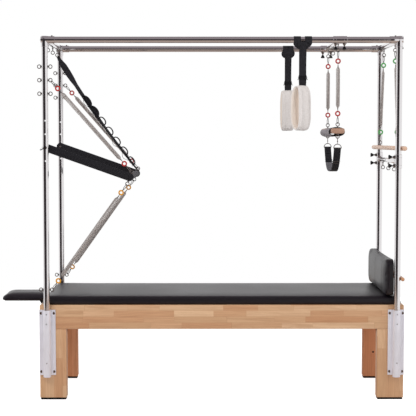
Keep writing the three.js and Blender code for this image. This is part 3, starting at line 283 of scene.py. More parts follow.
def vinyl_finish(colour):
    """Black leatherette: pebbled grain, slow folds and a slight wear sheen."""
    finish = Finish("black_leatherette", colour, 0.36)
    place = finish.place()
    pebbles = finish.cells(place, 620.0)
    creases = finish.cells(place, 310.0, "DISTANCE_TO_EDGE").fit(0.0, 0.25)
    folds = finish.noise(place, 7.0, 3.0, 0.55, 0.4)
    wear = finish.noise(place, 2.2, 2.0)
    finish.set("Base Color", finish.mix(creases * wear.fit(0.3, 0.7), colour, tinted(colour, 1.5)))
    finish.set("Roughness", wear.fit(0.25, 0.75, 0.33, 0.39) + (1.0 - creases) * 0.04)
    finish.bump(pebbles * 0.16 + creases * 0.2 + folds * 2.6, 0.0012, 0.5)
    return finish.material


def marked_finish(name, colour, roughness, marks, rough, metallic=0.0, tone=None, bump=None, **even):
    """An even finish with fine marks, a noise that moves its roughness and may tint and raise it.

    tone is a factor on the colour, the span of the noise that it comes in over, and its share.
    """
    finish = Finish(name, colour, roughness, metallic, **even)
    pattern = finish.noise(finish.place(), *marks)
    finish.set("Roughness", pattern.fit(0.3, *rough))
    if tone:
        factor, low, high, share = tone
        finish.set("Base Color", finish.mix(pattern.fit(low, high, 0.0, share), colour, tinted(colour, factor)))
    if bump:
        finish.bump(pattern, *bump)
    return finish.material


def plastic_finish(name, colour, roughness):
    rough = (0.7, roughness - 0.08, roughness + 0.1)
    return marked_finish(
        name, colour, roughness, (260.0, 2.0), rough, bump=(0.0003, 0.3), **{"Specular IOR Level": 0.35}
    )


def enamel_finish(name, colour):
    """Dipped enamel on a wire ring, worn a little thin where it touches."""
    return marked_finish(name, colour, 0.35, (150.0, 3.0), (0.7, 0.28, 0.5), tone=(0.55, 0.5, 0.75, 0.6))


def aluminium_finish(colour):
    """Extruded and clear-anodised aluminium: fine die lines along Z and a satin face."""
    finish = Finish("anodised_aluminium", colour, 0.4, 0.34)
    x, y, z = finish.axes(finish.place())
    lines = finish.noise(finish.vector(x * 900.0, y * 900.0, z * 3.0), 1.0, 2.0)
    cloud = finish.noise(finish.place(), 11.0, 3.0)
    paler = tuple(min(1.0, c) for c in tinted(colour, 1.1))
    finish.set("Base Color", finish.mix(cloud.fit(0.3, 0.7), colour, paler))
    finish.set("Roughness", lines.fit(0.3, 0.7, 0.34, 0.5))
    finish.bump(lines, 0.0002, 0.35)
    return finish.material


def black_paint_finish(colour):
    """Powder coat with its fine orange-peel."""
    finish = Finish("black_powder_coat", colour, 0.55, **{"Specular IOR Level": 0.35})
    finish.set("Roughness", finish.noise(finish.place(), 14.0, 2.0).fit(0.3, 0.7, 0.6, 0.68))
    finish.bump(finish.noise(finish.place(), 480.0, 2.0), 0.0001, 0.25)
    return finish.material


def foam_finish(name, colour):
    """Closed-cell foam: small cells and matt; painted shade darkens the colour with the same cell and cloud noise that
    raise the bump.
    """
    finish = Finish(name, colour, 0.85)
    pits = finish.cells(finish.place(), 520.0)
    cloud = finish.noise(finish.place(), 30.0, 3.0)
    # painted shade: darker with the cell and cloud noise of the bump
    share = pits.fit(0.1, 0.6) * 0.5 + cloud.fit(0.3, 0.7) * 0.3
    finish.set("Base Color", finish.mix(share, colour, tinted(colour, 0.6)))
    finish.set("Roughness", cloud.fit(0.3, 0.7, 0.8, 0.95))
    finish.bump(pits * 0.7 + cloud * 0.3, 0.0006, 0.6)
    return finish.material


def webbing_finish(name, colour):
    """Woven webbing on its own layout, u across and v along in metres: twill ribs, picks and a firm edge."""
    finish = Finish(name, colour, 0.72, **{"Specular IOR Level": 0.3})
    across, along, _ = finish.axes(finish.place("UV"))
    rib, pick = 2 * math.pi / 0.0032, 2 * math.pi / 0.0024
    ribs = abs((across * rib + along * rib).wave())
    picks = abs((along * pick).wave())
    fuzz = finish.noise(finish.place(), 300.0, 2.0)
    lighter = tuple(c * 2.6 + 0.006 for c in colour[:3]) + (1.0,)
    finish.set("Base Color", finish.mix(ribs * 0.45 + fuzz.fit(0.4, 0.7) * 0.35, colour, lighter))
    finish.set("Roughness", fuzz.fit(0.3, 0.7, 0.66, 0.82))
    finish.bump(ribs * 0.6 + picks * 0.4, 0.0005, 0.7)
    return finish.material


def fleece_finish(look):
    """Sheared synthetic fleece, creamy outside and tan where the pile lies flat inside the loop."""
    finish = Finish("cream_fleece", look.fleece, 0.95, **{"Sheen Weight": 0.25, "Sheen Roughness": 0.5})
    tufts = finish.cells(finish.place(), 210.0)
    fine = finish.noise(finish.place(), 420.0, 3.0, 0.7)
    inside = finish.node("ShaderNodeAttribute", output="Fac", attribute_name="inside")
    share = tufts.fit(0.1, 0.7) * 0.6 + fine.fit(0.35, 0.7) * 0.3
    colour = finish.mix(share, look.fleece, tinted(look.fleece, 0.8, 0.76, 0.72))
    finish.set("Base Color", finish.mix(inside, colour, look.fleece_inside))
    finish.set("Roughness", fine.fit(0.3, 0.7, 0.9, 1.0))
    finish.bump(tufts * 0.8 + fine * 0.5, 0.0018, 0.8)
    return finish.material


# Forms --------------------


def circle(radius, sides):
    angles = np.arange(sides) * 2 * math.pi / sides
    return np.stack([radius * np.cos(angles), radius * np.sin(angles)], 1)


def quarter_turn(points):
    """Angles from nought to a right angle."""
    return np.linspace(0, math.pi / 2, points)


def rounded(width, height, corner, steps):
    """A rounded rectangle about the origin."""
    points = []
    for quarter, (x, y) in enumerate(((1, 1), (-1, 1), (-1, -1), (1, -1))):
        for step in range(steps + 1):
            angle = (quarter + step / steps) * math.pi / 2
            reach_x, reach_y = x * (width / 2 - corner), y * (height / 2 - corner)
            points.append((reach_x + corner * math.cos(angle), reach_y + corner * math.sin(angle)))
    return np.array(points)


def smooth_path(points, count):
    """A curve through points, evenly cut into count pieces."""
    points = np.array(points, float)
    padded = np.vstack([2 * points[0] - points[1], points, 2 * points[-1] - points[-2]])
    dense = []
    for a, b, c, d in zip(padded, padded[1:], padded[2:], padded[3:]):
        bend, twist = 2 * a - 5 * b + 4 * c - d, 3 * b - a - 3 * c + d
        dense += [0.5 * (2 * b + (c - a) * t + bend * t**2 + twist * t**3) for t in np.arange(24) / 24]
    dense = np.array(dense + [points[-1]])
    run = np.concatenate([[0], np.cumsum(np.linalg.norm(np.diff(dense, axis=0), axis=1))])
    marks = np.linspace(0, run[-1], count + 1)
    return np.stack([np.interp(marks, run, dense[:, k]) for k in range(3)], 1)


def mirrored(profile, length):
    """A profile from one end of a length, and the same one from the other end."""
    return profile + [(length - d, r) for d, r in reversed(profile)]


def domed(radius, depth, length, points):
    """The profile of a turned dowel with domed ends."""
    return mirrored([(depth * (1 - math.cos(a)), radius * math.sin(a)) for a in quarter_turn(points)], length)


def square_to(way):
    """A direction of unit length, and two more that stand square to it."""
    way = Vector(way).normalized()
    first = way.orthogonal().normalized()
    return way, first, way.cross(first)


class Form:
    """The points and faces of one piece, in metres from the floor point of the table."""

    def __init__(self):
        self.points, self.faces, self.layout = [], [], []

    def skin(self, sections, ring=False, caps=True):
        """Joins closed sections one after another; ring joins the last to the first."""
        sections = np.asarray(sections, float)
        count, sides = sections.shape[:2]
        base = len(self.points)
        self.points.extend(sections.reshape(-1, 3).tolist())
        steps = np.linalg.norm(np.roll(sections[0], -1, 0) - sections[0], axis=1)
        around = np.concatenate([[0], np.cumsum(steps)])
        centres = sections.mean(1)
        runs = np.linalg.norm(np.roll(centres, -1, 0) - centres, axis=1)
        along = np.concatenate([[0], np.cumsum(runs)])
        for i in range(count if ring else count - 1):
            j = (i + 1) % count
            for k in range(sides):
                m = (k + 1) % sides
                self.faces.append([base + n for n in (i * sides + k, i * sides + m, j * sides + m, j * sides + k)])
                self.layout.extend([(around[k], along[i]), (around[k + 1], along[i])])
                self.layout.extend([(around[k + 1], along[i + 1]), (around[k], along[i + 1])])
        if caps and not ring:
            for i in (0, count - 1):
                self.faces.append([base + i * sides + k for k in range(sides)])
                self.layout.extend([(around[k], along[i]) for k in range(sides)])
        return self

    def sweep(self, path, section, side=None, ring=False, turn=None):
        """Carries a flat section along a path. side keeps its first axis level; turn gives an angle at each point."""
        path = np.array(path, float)
        ways = np.roll(path, -1, 0) - np.roll(path, 1, 0)
        if not ring:
            ways[0], ways[-1] = path[1] - path[0], path[-1] - path[-2]
        ways /= np.linalg.norm(ways, axis=1)[:, None]
        first = np.array(Z if side is None else side, float)
        if side is None and abs(ways[0] @ first) > 0.9:
            first = np.array(Y, float)
        sections = []
        for index, (point, way) in enumerate(zip(path, ways)):
            if side is not None:
                first = np.array(side, float)
            first = first - (first @ way) * way
            first /= np.linalg.norm(first)
            second = np.cross(way, first)
            flat = section(index) if callable(section) else section
            a, b = first, second
            if turn is not None:
                c, s = math.cos(turn[index]), math.sin(turn[index])
                a, b = c * first + s * second, c * second - s * first
            sections.append(point + flat[:, :1] * a + flat[:, 1:] * b)
        return self.skin(sections, ring)

    def wire(self, path, radius, sides, ring=False):
        return self.sweep(path, circle(radius, sides), ring=ring)

    def turned(self, start, end, profile, sides):
        """A lathe-turned form on the line from start towards end: (distance from start, radius) pairs."""
        start = Vector(start)
        way, first, second = square_to(Vector(end) - start)
        sections = []
        for distance, radius in profile:
            centre = start + way * distance
            sections.append([centre + first * a + second * b for a, b in circle(max(radius, POINT), sides)])
        return self.skin(sections, caps=profile[0][1] > 0 and profile[-1][1] > 0)

    def rod(self, start, end, radius, sides, ease=0.001):
        length = (Vector(end) - Vector(start)).length
        ease = min(ease, radius / 2, length / 3)
        profile = [(0, radius - ease), (ease * 0.3, radius - ease * 0.3), (ease, radius)]
        return self.turned(start, end, mirrored(profile, length), sides)

    def hollow(self, start, way, first, profile, sides):
        """A lathe-turned form with a bore: its profile closes on itself."""
        second = way.cross(first)
        rims = [[start + way * d + (first * a + second * b) * r for d, r in profile] for a, b in circle(1, sides)]
        return self.skin(rims, ring=True)

    def tube(self, start, end):
        """An open canopy tube with eased rims."""
        way, first, _ = square_to(Vector(end) - Vector(start))
        length = (Vector(end) - Vector(start)).length
        rim = [(0, 0.017), (0, TUBE_R - 0.0006), (0.0006, TUBE_R)]
        return self.hollow(Vector(start), way, first, mirrored(rim, length), 64)

    def board(self, low, high, ease, axis):
        """A board with rounded edges between two corners, its faces clean and its long way along axis."""
        low, high = np.array(low, float), np.array(high, float)
        size, centre = high - low, (low + high) / 2
        u, v = [k for k in range(3) if k != axis]
        eased = [(ease * (1 - math.cos(a)), ease * (1 - math.sin(a))) for a in quarter_turn(4)]
        levels = [(-size[axis] / 2 + d, inset) for d, inset in eased]
        sections = []
        for place, inset in mirrored(levels, 0):
            flat = rounded(size[u] - 2 * inset, size[v] - 2 * inset, max(ease - inset, ease * 0.15), 3)
            section = np.zeros((len(flat), 3))
            section[:, axis], section[:, u], section[:, v] = place, flat[:, 0], flat[:, 1]
            sections.append(section + centre)
        return self.skin(sections)

    def torus(self, centre, normal, radius, wire, steps=28, sides=10):
        _, first, second = square_to(normal)
        path = [Vector(centre) + (first * a + second * b) * radius for a, b in circle(1, steps)]
        return self.wire(path, wire, sides, ring=True)

    def eyebolt(self, root, centre, normal=Y):
        """A ring on a stem that comes out of root, with its nut and washer."""
        root, centre = Vector(root), Vector(centre)
        way, reach = (centre - root).normalized(), (centre - root).length
        self.torus(centre, normal, EYE_R, EYE_WIRE)
        self.rod(root, centre - way * (EYE_R + EYE_WIRE * 0.2), 0.0031, 14)
        seat = root + way * min(0.0035, reach * 0.2)
        self.turned(seat, centre, [(0, 0.0066), (0.0012, 0.0066), (0.0012, 0.0052)], 20)
        return self.turned(seat + way * 0.001, centre, [(0, 0.0058), (0.004, 0.0058), (0.0046, 0.005)], 6)

    def join(self, other):
        base = len(self.points)
        self.points.extend(other.points)
        self.faces.extend([base + n for n in face] for face in other.faces)
        self.layout.extend(other.layout)
        return self

    def moved(self, matrix):
        self.points = [tuple(matrix @ Vector(p)) for p in self.points]
        return self

    def piece(self, name, finish, body=None, slot=None, replaces=()):
        """The form as an object of its own, riding on a body of the frame."""
        mesh = bpy.data.meshes.new(name)
        mesh.from_pydata((np.array(self.points) + np.array(FLOOR_POINT)).tolist(), [], self.faces)
        layer = mesh.uv_layers.new(name="Layout")
        layer.data.foreach_set("uv", np.array(self.layout, np.float32).ravel())
        form = bmesh.new()
        form.from_mesh(mesh)
        bmesh.ops.remove_doubles(form, verts=form.verts, dist=2e-6)
        bmesh.ops.dissolve_degenerate(form, edges=form.edges, dist=POINT)
        bmesh.ops.recalc_face_normals(form, faces=form.faces)
        form.to_mesh(mesh)
        form.free()
        mesh.shade_smooth()
        mesh.set_sharp_from_angle(angle=SHARP)
        mesh.materials.append(FINISHES[finish])
        made = put(name, mesh)
        return hand_over(made, body, replaces) if body else made


def hand_over(piece, body, replaces=()):
    """Gives a finished piece to the frame: parents it to a named body, or, given two bodies and two points, only bakes
    its place into its mesh; hides the parts it replaces.
    """
    if isinstance(body, str):
        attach(piece, body)
    else:
        first, second, start, end = body
        FLOOR_POINT + Vector(start)
        FLOOR_POINT + Vector(end)
        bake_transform(piece)
    if replaces:
        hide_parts(*replaces)
    return piece


def settle(piece):
    """Turns a piece and its modifiers into a plain mesh."""
    graph = bpy.context.evaluated_depsgraph_get()
    made = bpy.data.meshes.new_from_object(piece.evaluated_get(graph))
    piece.modifiers.clear()
    piece.data = made
    return piece


def smoothed(piece):
    """Subdivides a piece once."""
    smooth = piece.modifiers.new("smooth", "SUBSURF")
    smooth.levels = smooth.render_levels = 1
    return settle(piece)


# Geometry Nodes --------------------


class Tree(Nodes):
    """A Geometry Nodes tree with named inputs, the last of them a finish."""

    def __init__(self, name, **inputs):
        super().__init__(bpy.data.node_groups.new(name, "GeometryNodeTree"))
        face = self.tree.interface
        face.new_socket("Geometry", in_out="INPUT", socket_type="NodeSocketGeometry")
        for label, (kind, value) in {**inputs, "Finish": ("Material", None)}.items():
            made = face.new_socket(label, in_out="INPUT", socket_type="NodeSocket" + kind)
            if value is not None:
                made.default_value = value
        face.new_socket("Geometry", in_out="OUTPUT", socket_type="NodeSocketGeometry")
        self.inputs = self.tree.nodes.new("NodeGroupInput").outputs

    def maths(self, operation, *values):
        return self.add("ShaderNodeMath", values, operation=operation)

    def finish(self, kind, sockets):
        """Closes the tree with a last node of its own, Realize Instances and Set Material."""
        solid = self.add("GeometryNodeRealizeInstances", [self.add(kind, sockets)])
        dressed = self.add("GeometryNodeSetMaterial", {"Geometry": solid, "Material": self.inputs["Finish"]})
        self.add("NodeGroupOutput", [dressed])
        return self.tree


def run_tree(name, mesh, tree, **values):
    """Makes an object from a tree, with the modifier's inputs set by their identifiers, and settles it."""
    made = put(name, mesh)
    modifier = made.modifiers.new(tree.name, "NODES")
    modifier.node_group = tree
    for socket in tree.interface.items_tree:
        if socket.item_type == "SOCKET" and socket.in_out == "INPUT" and socket.name in values:
            modifier[socket.identifier] = values[socket.name]
    return settle(made)


def coil_tree():
    """A tension spring: a close coil between two tapered ends, laid from one point towards another."""
    shape = {"Length": ("Float", 0.3), "Coil_Radius": ("Float", 0.0105), "Wire_Radius": ("Float", 0.0012)}
    tree = Tree("Tension spring", **shape, Pitch=("Float", 0.0028), From=("Vector", None), Turn=("Rotation", None))
    given = tree.inputs
    taper = tree.maths("MULTIPLY", given["Pitch"], 5.0)
    body = tree.maths("SUBTRACT", given["Length"], tree.maths("MULTIPLY", taper, 2.0))
    turns = tree.maths("ROUND", tree.maths("DIVIDE", body, given["Pitch"]))
    wide = given["Coil_Radius"]
    small = tree.maths("MULTIPLY", wide, 0.3)
    parts = []
    for rotations, start, end, height, lift in (
        (5.0, small, wide, taper, 0.0),
        (turns, wide, wide, body, taper),
        (5.0, wide, small, taper, tree.maths("ADD", taper, body)),
    ):
        sockets = {"Resolution": 12, "Rotations": rotations, "Start Radius": start, "End Radius": end}
        curve = tree.add("GeometryNodeCurveSpiral", {**sockets, "Height": height})
        offset = tree.add("ShaderNodeCombineXYZ", {"Z": lift})
        parts.append(tree.add("GeometryNodeTransform", {"Geometry": curve, "Translation": offset}))
    coil = tree.add("GeometryNodeJoinGeometry", [parts])
    section = tree.add("GeometryNodeCurvePrimitiveCircle", {"Resolution": 6, "Radius": given["Wire_Radius"]})
    solid = tree.add("GeometryNodeCurveToMesh", {"Curve": coil, "Profile Curve": section, "Fill Caps": True})
    sockets = {"Geometry": tree.add("GeometryNodeSetShadeSmooth", [solid]), "Translation": given["From"]}
    return tree.finish("GeometryNodeTransform", {**sockets, "Rotation": given["Turn"]})


def copies_tree():
    """Copies of one part on points, each turned as the point's own turn says."""
    tree = Tree("Placed copies", Part=("Object", None))
    part = tree.add("GeometryNodeObjectInfo", {"Object": tree.inputs["Part"]}, "Geometry")
    turn = tree.add("GeometryNodeInputNamedAttribute", {"Name": "turn"}, data_type="FLOAT_VECTOR")
    points = tree.add("GeometryNodeMeshToPoints", {"Mesh": tree.inputs["Geometry"]})
    sockets = {"Points": points, "Instance": part, "Rotation": tree.add("FunctionNodeEulerToRotation", [turn])}
    return tree.finish("GeometryNodeInstanceOnPoints", sockets)


def stitches_tree():
    """A row of stitches along the edges of a mesh: short threads, evenly spaced and turned to the run."""
    tree = Tree("Stitch row", Pitch=("Float", 0.006), Thread_Radius=("Float", 0.0004))
    given = tree.inputs
    curve = tree.add("GeometryNodeMeshToCurve", {"Mesh": given["Geometry"]})
    even = tree.add("GeometryNodeResampleCurve", {"Curve": curve, "Length": given["Pitch"]}, mode="LENGTH")
    rotation = tree.add("FunctionNodeAlignRotationToVector", {"Vector": tree.add("GeometryNodeInputTangent")}, axis="Z")
    bead = tree.add("GeometryNodeMeshUVSphere", {"Segments": 6, "Rings": 4, "Radius": 1.0})
    half = tree.maths("MULTIPLY", given["Pitch"], 0.42)
    scale = tree.add("ShaderNodeCombineXYZ", [given["Thread_Radius"], given["Thread_Radius"], half])
    thread = tree.add("GeometryNodeTransform", {"Geometry": bead, "Scale": scale})
    sockets = {"Points": even, "Instance": tree.add("GeometryNodeSetShadeSmooth", [thread]), "Rotation": rotation}
    return tree.finish("GeometryNodeInstanceOnPoints", sockets)


def euler_to(way):
    """The turn that takes +Z to a direction."""
    return tuple(Vector(way).to_track_quat("Z", "Y").to_euler())


def copies(name, part, places, finish, body, replaces=()):
    """Sets copies of a form at places: (point, way) pairs, where the form's +Z is turned to the way."""
    source = part.piece(name + "_one", finish)
    source.data.transform(Matrix.Translation(-FLOOR_POINT))
    points = bpy.data.meshes.new(name)
    points.from_pydata([FLOOR_POINT + Vector(point) for point, _ in places], [], [])
    turns = points.attributes.new("turn", "FLOAT_VECTOR", "POINT")
    turns.data.foreach_set("vector", np.array([euler_to(way) for _, way in places], np.float32).ravel())
    made = run_tree(name, points, TREES["copies"], Part=source, Finish=FINISHES[finish])
    bpy.data.objects.remove(source)
    made.data.set_sharp_from_angle(angle=SHARP)
    return hand_over(made, body, replaces)


def stitches(name, rows, body):
    """Rows of stitches along open paths, in metres in the row frame."""
    lines = bpy.data.meshes.new(name)
    points, edges = [], []
    for row in rows:
        edges.extend((len(points) + k, len(points) + k + 1) for k in range(len(row) - 1))
        points.extend(row)
    lines.from_pydata(points, edges, [])
    values = {"Pitch": context_sizes().stitch, "Thread_Radius": 0.00045, "Finish": FINISHES["thread"]}
    return hand_over(run_tree(name, lines, TREES["stitches"], **values), body)


TREES, FINISHES = {}, {}


# Properties --------------------


def colour_property(name, description, red, green, blue):
    return bpy.props.FloatVectorProperty(
        name=name, description=description, subtype="COLOR", size=4, min=0, max=1, default=rgb(red, green, blue)
    )


def length_property(name, description, default):
    return bpy.props.FloatProperty(
        name=name, description=description, default=default, min=0.0001, unit="LENGTH", subtype="DISTANCE"
    )


class TrapezeTableLook(bpy.types.PropertyGroup):
    """The colours of the table's finishes."""

    wood: colour_property("Wood", "Middle tone of the rubberwood blocks", 202, 162, 127)
    upholstery: colour_property("Upholstery", "Leatherette of the mattress and pads", 22, 17, 24)
    chrome: colour_property("Chrome", "Canopy tubes", 226, 223, 224)
    fasteners: colour_property("Fasteners", "Eyebolts, hooks and screws", 142, 136, 134)
    aluminium: colour_property("Aluminium", "Post sockets", 238, 236, 244)
    paint: colour_property("Paint", "Arms of the push-through bar", 31, 30, 35)
    foam: colour_property("Foam", "Trapeze pad", 174, 168, 174)
    spring: colour_property("Springs", "Wire of the springs", 214, 206, 202)
    webbing: colour_property("Webbing", "Straps", 26, 25, 29)
    fleece: colour_property("Fleece", "Outside of the sling loops", 238, 233, 232)
    fleece_inside: colour_property("Fleece lining", "Inside of the sling loops", 242, 228, 216)
    rubber: colour_property("Rubber", "Foot pads and knobs", 14, 13, 15)
    red: colour_property("Strong springs", "Rings of the strong springs", 186, 30, 26)
    green: colour_property("Light springs", "Rings of the light springs", 84, 174, 92)
    yellow: colour_property("Medium springs", "Rings of the medium springs", 226, 156, 22)


class TrapezeTableSizes(bpy.types.PropertyGroup):
    """The sizes of the detail on the table."""

    edge: length_property("Wood edge", "Radius of the eased wood edges", 0.004)
    lamella: length_property("Lamella", "Width of a lamella of the block board", 0.0365)
    block: length_property("Block", "Usual length of a block in a lamella", 0.27)
    roll: length_property("Cushion roll", "Radius of the mattress edge", 0.016)
    wire: length_property("Spring wire", "Radius of the spring wire", 0.0012)
    pitch: length_property("Spring pitch", "Distance from curl to curl", 0.0029)
    stitch: length_property("Stitch", "Length of a seam stitch", 0.006)
    webbing: length_property("Webbing", "Width of the sling and foot-strap webbing", 0.043)


def context_look():
    return bpy.context.scene.trapeze_table_look


def context_sizes():
    return bpy.context.scene.trapeze_table_sizes


def make_finishes():
    look, sizes = context_look(), context_sizes()
    board, block = sizes.lamella, sizes.block
    # The rear legs' boards are darker and redder: painted shade of the deck over them. Their wider lamellas and longer
    # blocks are real.
    rear_leg = (1.12, 0.84, 0.74)
    FINISHES.update(
        long_board=wood_finish("block_board_long", look, "XZY", board, block, 3.0),
        end_board=wood_finish("block_board_end", look, "YZX", board, block, 11.0),
        leg_board=wood_finish("block_board_leg", look, "ZXY", board * 1.45, block * 1.2, 7.0),
        rear_leg_board=wood_finish("block_board_rear_leg", look, "ZXY", board * 2.0, block * 2, 23.0, rear_leg),
        deck_board=wood_finish("deck_board", look, "XYZ", board * 1.6, block * 2, 19.0),
        dowel_wood=turned_wood_finish("turned_wood", rgb(228, 190, 164), 4.0),
        pad_dowel_wood=turned_wood_finish("pad_dowel_wood", rgb(198, 146, 110), 14.0),
        bar_wood=turned_wood_finish("bar_wood", rgb(175, 137, 116), 9.0),
        vinyl=vinyl_finish(look.upholstery),
        chrome=marked_finish("polished_chrome", look.chrome, 0.09, (23.0, 4.0, 0.6), (0.75, 0.06, 0.13), 1.0),
        plated=marked_finish(
            "plated_steel", look.fasteners, 0.25, (240.0, 3.0, 0.6), (0.7, 0.2, 0.34), 1.0, bump=(0.0002, 0.3)
        ),
        spring=marked_finish(
            "spring_wire", look.spring, 0.45, (60.0, 3.0, 0.6), (0.7, 0.4, 0.52), 0.5, (0.78, 0.35, 0.7, 1.0)
        ),
        browned=marked_finish("browned_steel", rgb(122, 96, 84), 0.35, (300.0, 2.0), (0.7, 0.25, 0.4), 1.0),
        aluminium=aluminium_finish(look.aluminium),
        paint=black_paint_finish(look.paint),
        foam=foam_finish("grey_foam", look.foam),
        foam_grip=foam_finish("dark_grey_foam", rgb(92, 90, 94)),
        foam_dark=foam_finish("black_foam", rgb(26, 25, 27)),
        webbing=webbing_finish("black_webbing", look.webbing),
        lining=webbing_finish("grey_webbing", rgb(84, 82, 86)),
        fleece=fleece_finish(look),
        rubber=plastic_finish("black_rubber", look.rubber, 0.62),
        knob=plastic_finish("knob_plastic", look.rubber, 0.42),
        thread=plastic_finish("black_thread", rgb(40, 39, 42), 0.6),
    )
    for colour in ("red", "green", "yellow"):
        FINISHES[colour] = enamel_finish(colour + "_enamel", getattr(look, colour))


# The stage --------------------


def emptied(owner):
    """The nodes of a world or a material, without those that it comes with."""
    owner.use_nodes = True
    owner.node_tree.nodes.clear()
    return Nodes(owner.node_tree)


def rays(nodes, *names):
    """1 for rays of the named kinds."""
    path = nodes.tree.nodes.new("ShaderNodeLightPath").outputs
    kinds = [path[f"Is {name} Ray"] for name in names]
    total = kinds[0]
    for kind in kinds[1:]:
        total = nodes.add("ShaderNodeMath", [total, kind], operation="MAXIMUM")
    return total


def glossy_card(colour):
    """The look of a card that shows its colour to glossy rays and lets all others through."""

    def shader(nodes):
        shown, clear = nodes.add("ShaderNodeEmission", [colour]), nodes.add("ShaderNodeBsdfTransparent")
        return nodes.add("ShaderNodeMixShader", [rays(nodes, "Glossy"), clear, shown])

    return shader


def floor_look(nodes):
    """White where it is lit, keeping the table's soft shadow, and a warm tone in what the tubes reflect."""
    diffuse = nodes.add("ShaderNodeBsdfDiffuse", [(0.8, 0.8, 0.8, 1)])
    lit = nodes.add("ShaderNodeAddShader", [diffuse, nodes.add("ShaderNodeEmission", {"Strength": 0.75})])
    sheen = nodes.add("ShaderNodeEmission", [rgb(186, 170, 160)])
    reflected = nodes.add("ShaderNodeMixShader", [rays(nodes, "Glossy"), diffuse, sheen])
    return nodes.add("ShaderNodeMixShader", [rays(nodes, "Camera"), reflected, lit])


def sheet(name, points, faces, shader):
    """A flat piece of the stage, whose look the shader function builds."""
    material = bpy.data.materials.new(name)
    nodes = emptied(material)
    nodes.add("ShaderNodeOutputMaterial", [shader(nodes)])
    mesh = bpy.data.meshes.new(name)
    mesh.from_pydata(points, [], faces)
    mesh.materials.append(material)
    put(name, mesh)


class TRAPEZE_OT_stage(bpy.types.Operator):
    """Set up the floor, the plain studio light, the white background and the camera"""

    bl_idname = "trapeze_table.stage"
    bl_label = "Stage and Camera"

    def execute(self, context):
        scene = context.scene
        scene.view_settings.view_transform = "Standard"
        camera = bpy.data.cameras.new("camera")
        camera.lens, camera.sensor_width, camera.clip_end = 102.5, 36.0, 100.0
        scene.camera = put("camera", camera)
        scene.camera.location = (0.02998, -7.44281, 1.6045)
        scene.camera.rotation_euler = (math.pi / 2 - 0.062, 0.0, -0.0034)
        self.background(scene)
        disk = [(4.6 * math.sin(a), 4.6 * math.cos(a), 0) for a in np.arange(64) * math.pi / 32]
        sheet("floor", disk, [tuple(range(63, -1, -1))], floor_look)
        self.flag(9.0, -70, 17, -3.0, 5.7)
        corners = [(x * 9.5, y * 9.5, 5.6) for x, y in ((-1, -1), (1, -1), (1, 1), (-1, 1))]
        sheet("ceiling", corners, [(0, 1, 2, 3)], glossy_card(rgb(151, 143, 147)))
        for name, place, size, power in (
            ("key_light", (-2.6, -4.2, 5.2), 3.2, 150),
            ("fill_light", (4.4, -3.4, 3.4), 3.2, 55),
            ("back_light", (0.5, 4.6, 4.6), 3.6, 60),
        ):
            lamp = bpy.data.lights.new(name, "AREA")
            lamp.shape, lamp.size, lamp.energy = "DISK", size, power
            holder = put(name, lamp)
            holder.location, holder.visible_glossy = place, False
            holder.rotation_euler = (Vector((0.1, 0, 0.9)) - Vector(place)).to_track_quat("-Z", "Y").to_euler()
        return {"FINISHED"}

    def background(self, scene):
        """White for camera, glossy and transmission rays, softer for the light that falls on the table."""
        scene.world = bpy.data.worlds.new("studio")
        nodes = emptied(scene.world)
        soft, white = (nodes.add("ShaderNodeBackground", [(1, 1, 1, 1), strength]) for strength in (0.6, 1.0))
        seen = rays(nodes, "Camera", "Glossy", "Transmission")
        nodes.add("ShaderNodeOutputWorld", [nodes.add("ShaderNodeMixShader", [seen, soft, white])])

    def flag(self, reach, first, last, low, high):
        """A dark studio flag that only reflections see: it gives the tubes their dark core."""
        angles = [math.radians(first + (last - first) * k / 16) for k in range(17)]
        points = [(reach * math.sin(a), -reach * math.cos(a), z) for a in angles for z in (low, high)]
        faces = [(2 * k, 2 * k + 2, 2 * k + 3, 2 * k + 1) for k in range(16)]
        sheet("flag_front", points, faces, glossy_card(rgb(58, 53, 55)))


# Base --------------------


def block(form, xs, ys, zs, ease, axis):
    """A board between two places on each axis, given in any order."""
    low, high = zip(*(sorted(pair) for pair in (xs, ys, zs)))
    return form.board(low, high, ease, axis)


def dress(node, finish):
    """Gives a CAD node that is shown its finish."""
    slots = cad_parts[node].data.materials
    slots.clear()
    slots.append(FINISHES[finish])


class TRAPEZE_OT_base(bpy.types.Operator):
    """Build the block-board legs, aprons and foot pads, and finish the deck"""

    bl_idname = "trapeze_table.base"
    bl_label = "Wooden Base"

    def execute(self, context):
        edge = context_sizes().edge
        for place, end, side in CORNERS:
            xs, ys = (end * HALF_BASE, end * 0.94), (side * HALF_WIDTH, side * 0.28)
            leg = block(Form(), xs, ys, (0.0123, APRON_LOW - CLEAR), edge, 2)
            block(leg, (end * 1.0647, end * 0.94), (side * 0.3147, side * 0.28), (0.41, 0.5587), 0.002, 2)
            # The rear legs take the darker, redder board: painted shade.
            finish = "leg_board" if side < 0 else "rear_leg_board"
            leg.piece(f"leg_{place}_block", finish, "table", "wood", [f"leg_{place}"])
            foot = block(Form(), (end * 1.096, end * 0.944), (side * 0.346, side * 0.284), (0, 0.012), 0.0025, 0)
            foot.piece(f"foot_pad_{place}_rubber", "rubber", "table", "foot_rubber", [f"foot_pad_{place}"])
        height = (APRON_LOW, APRON_HIGH)
        for side_name, side in SIDES:
            board = block(Form(), (-HALF_BASE, HALF_BASE), (side * HALF_WIDTH, side * 0.315), height, edge, 0)
            board.piece(f"apron_{side_name}_board", "long_board", "table", "wood", [f"apron_{side_name}"])
        board = block(Form(), (1.065, HALF_BASE), (-0.3147, 0.3147), height, edge, 1)
        board.piece("apron_right_board", "end_board", "table", "wood", ["apron_right"])
        dress("apron_left", "end_board")
        dress("deck", "deck_board")
        profile = [(0, 0.0064), (0.0014, 0.006), (0.002, 0.0)]
        plug = Form().turned((1.006, 0.2803, 0.1745), (1.006, 0, 0.1745), profile, 24)
        plug.piece("leg_plug", "rubber", "table", "foot_rubber")
        return {"FINISHED"}


# Sockets --------------------


def lathe(profile, sides):
    """A turned form that stands on the origin."""
    return Form().turned((0, 0, 0), Z, profile, sides)


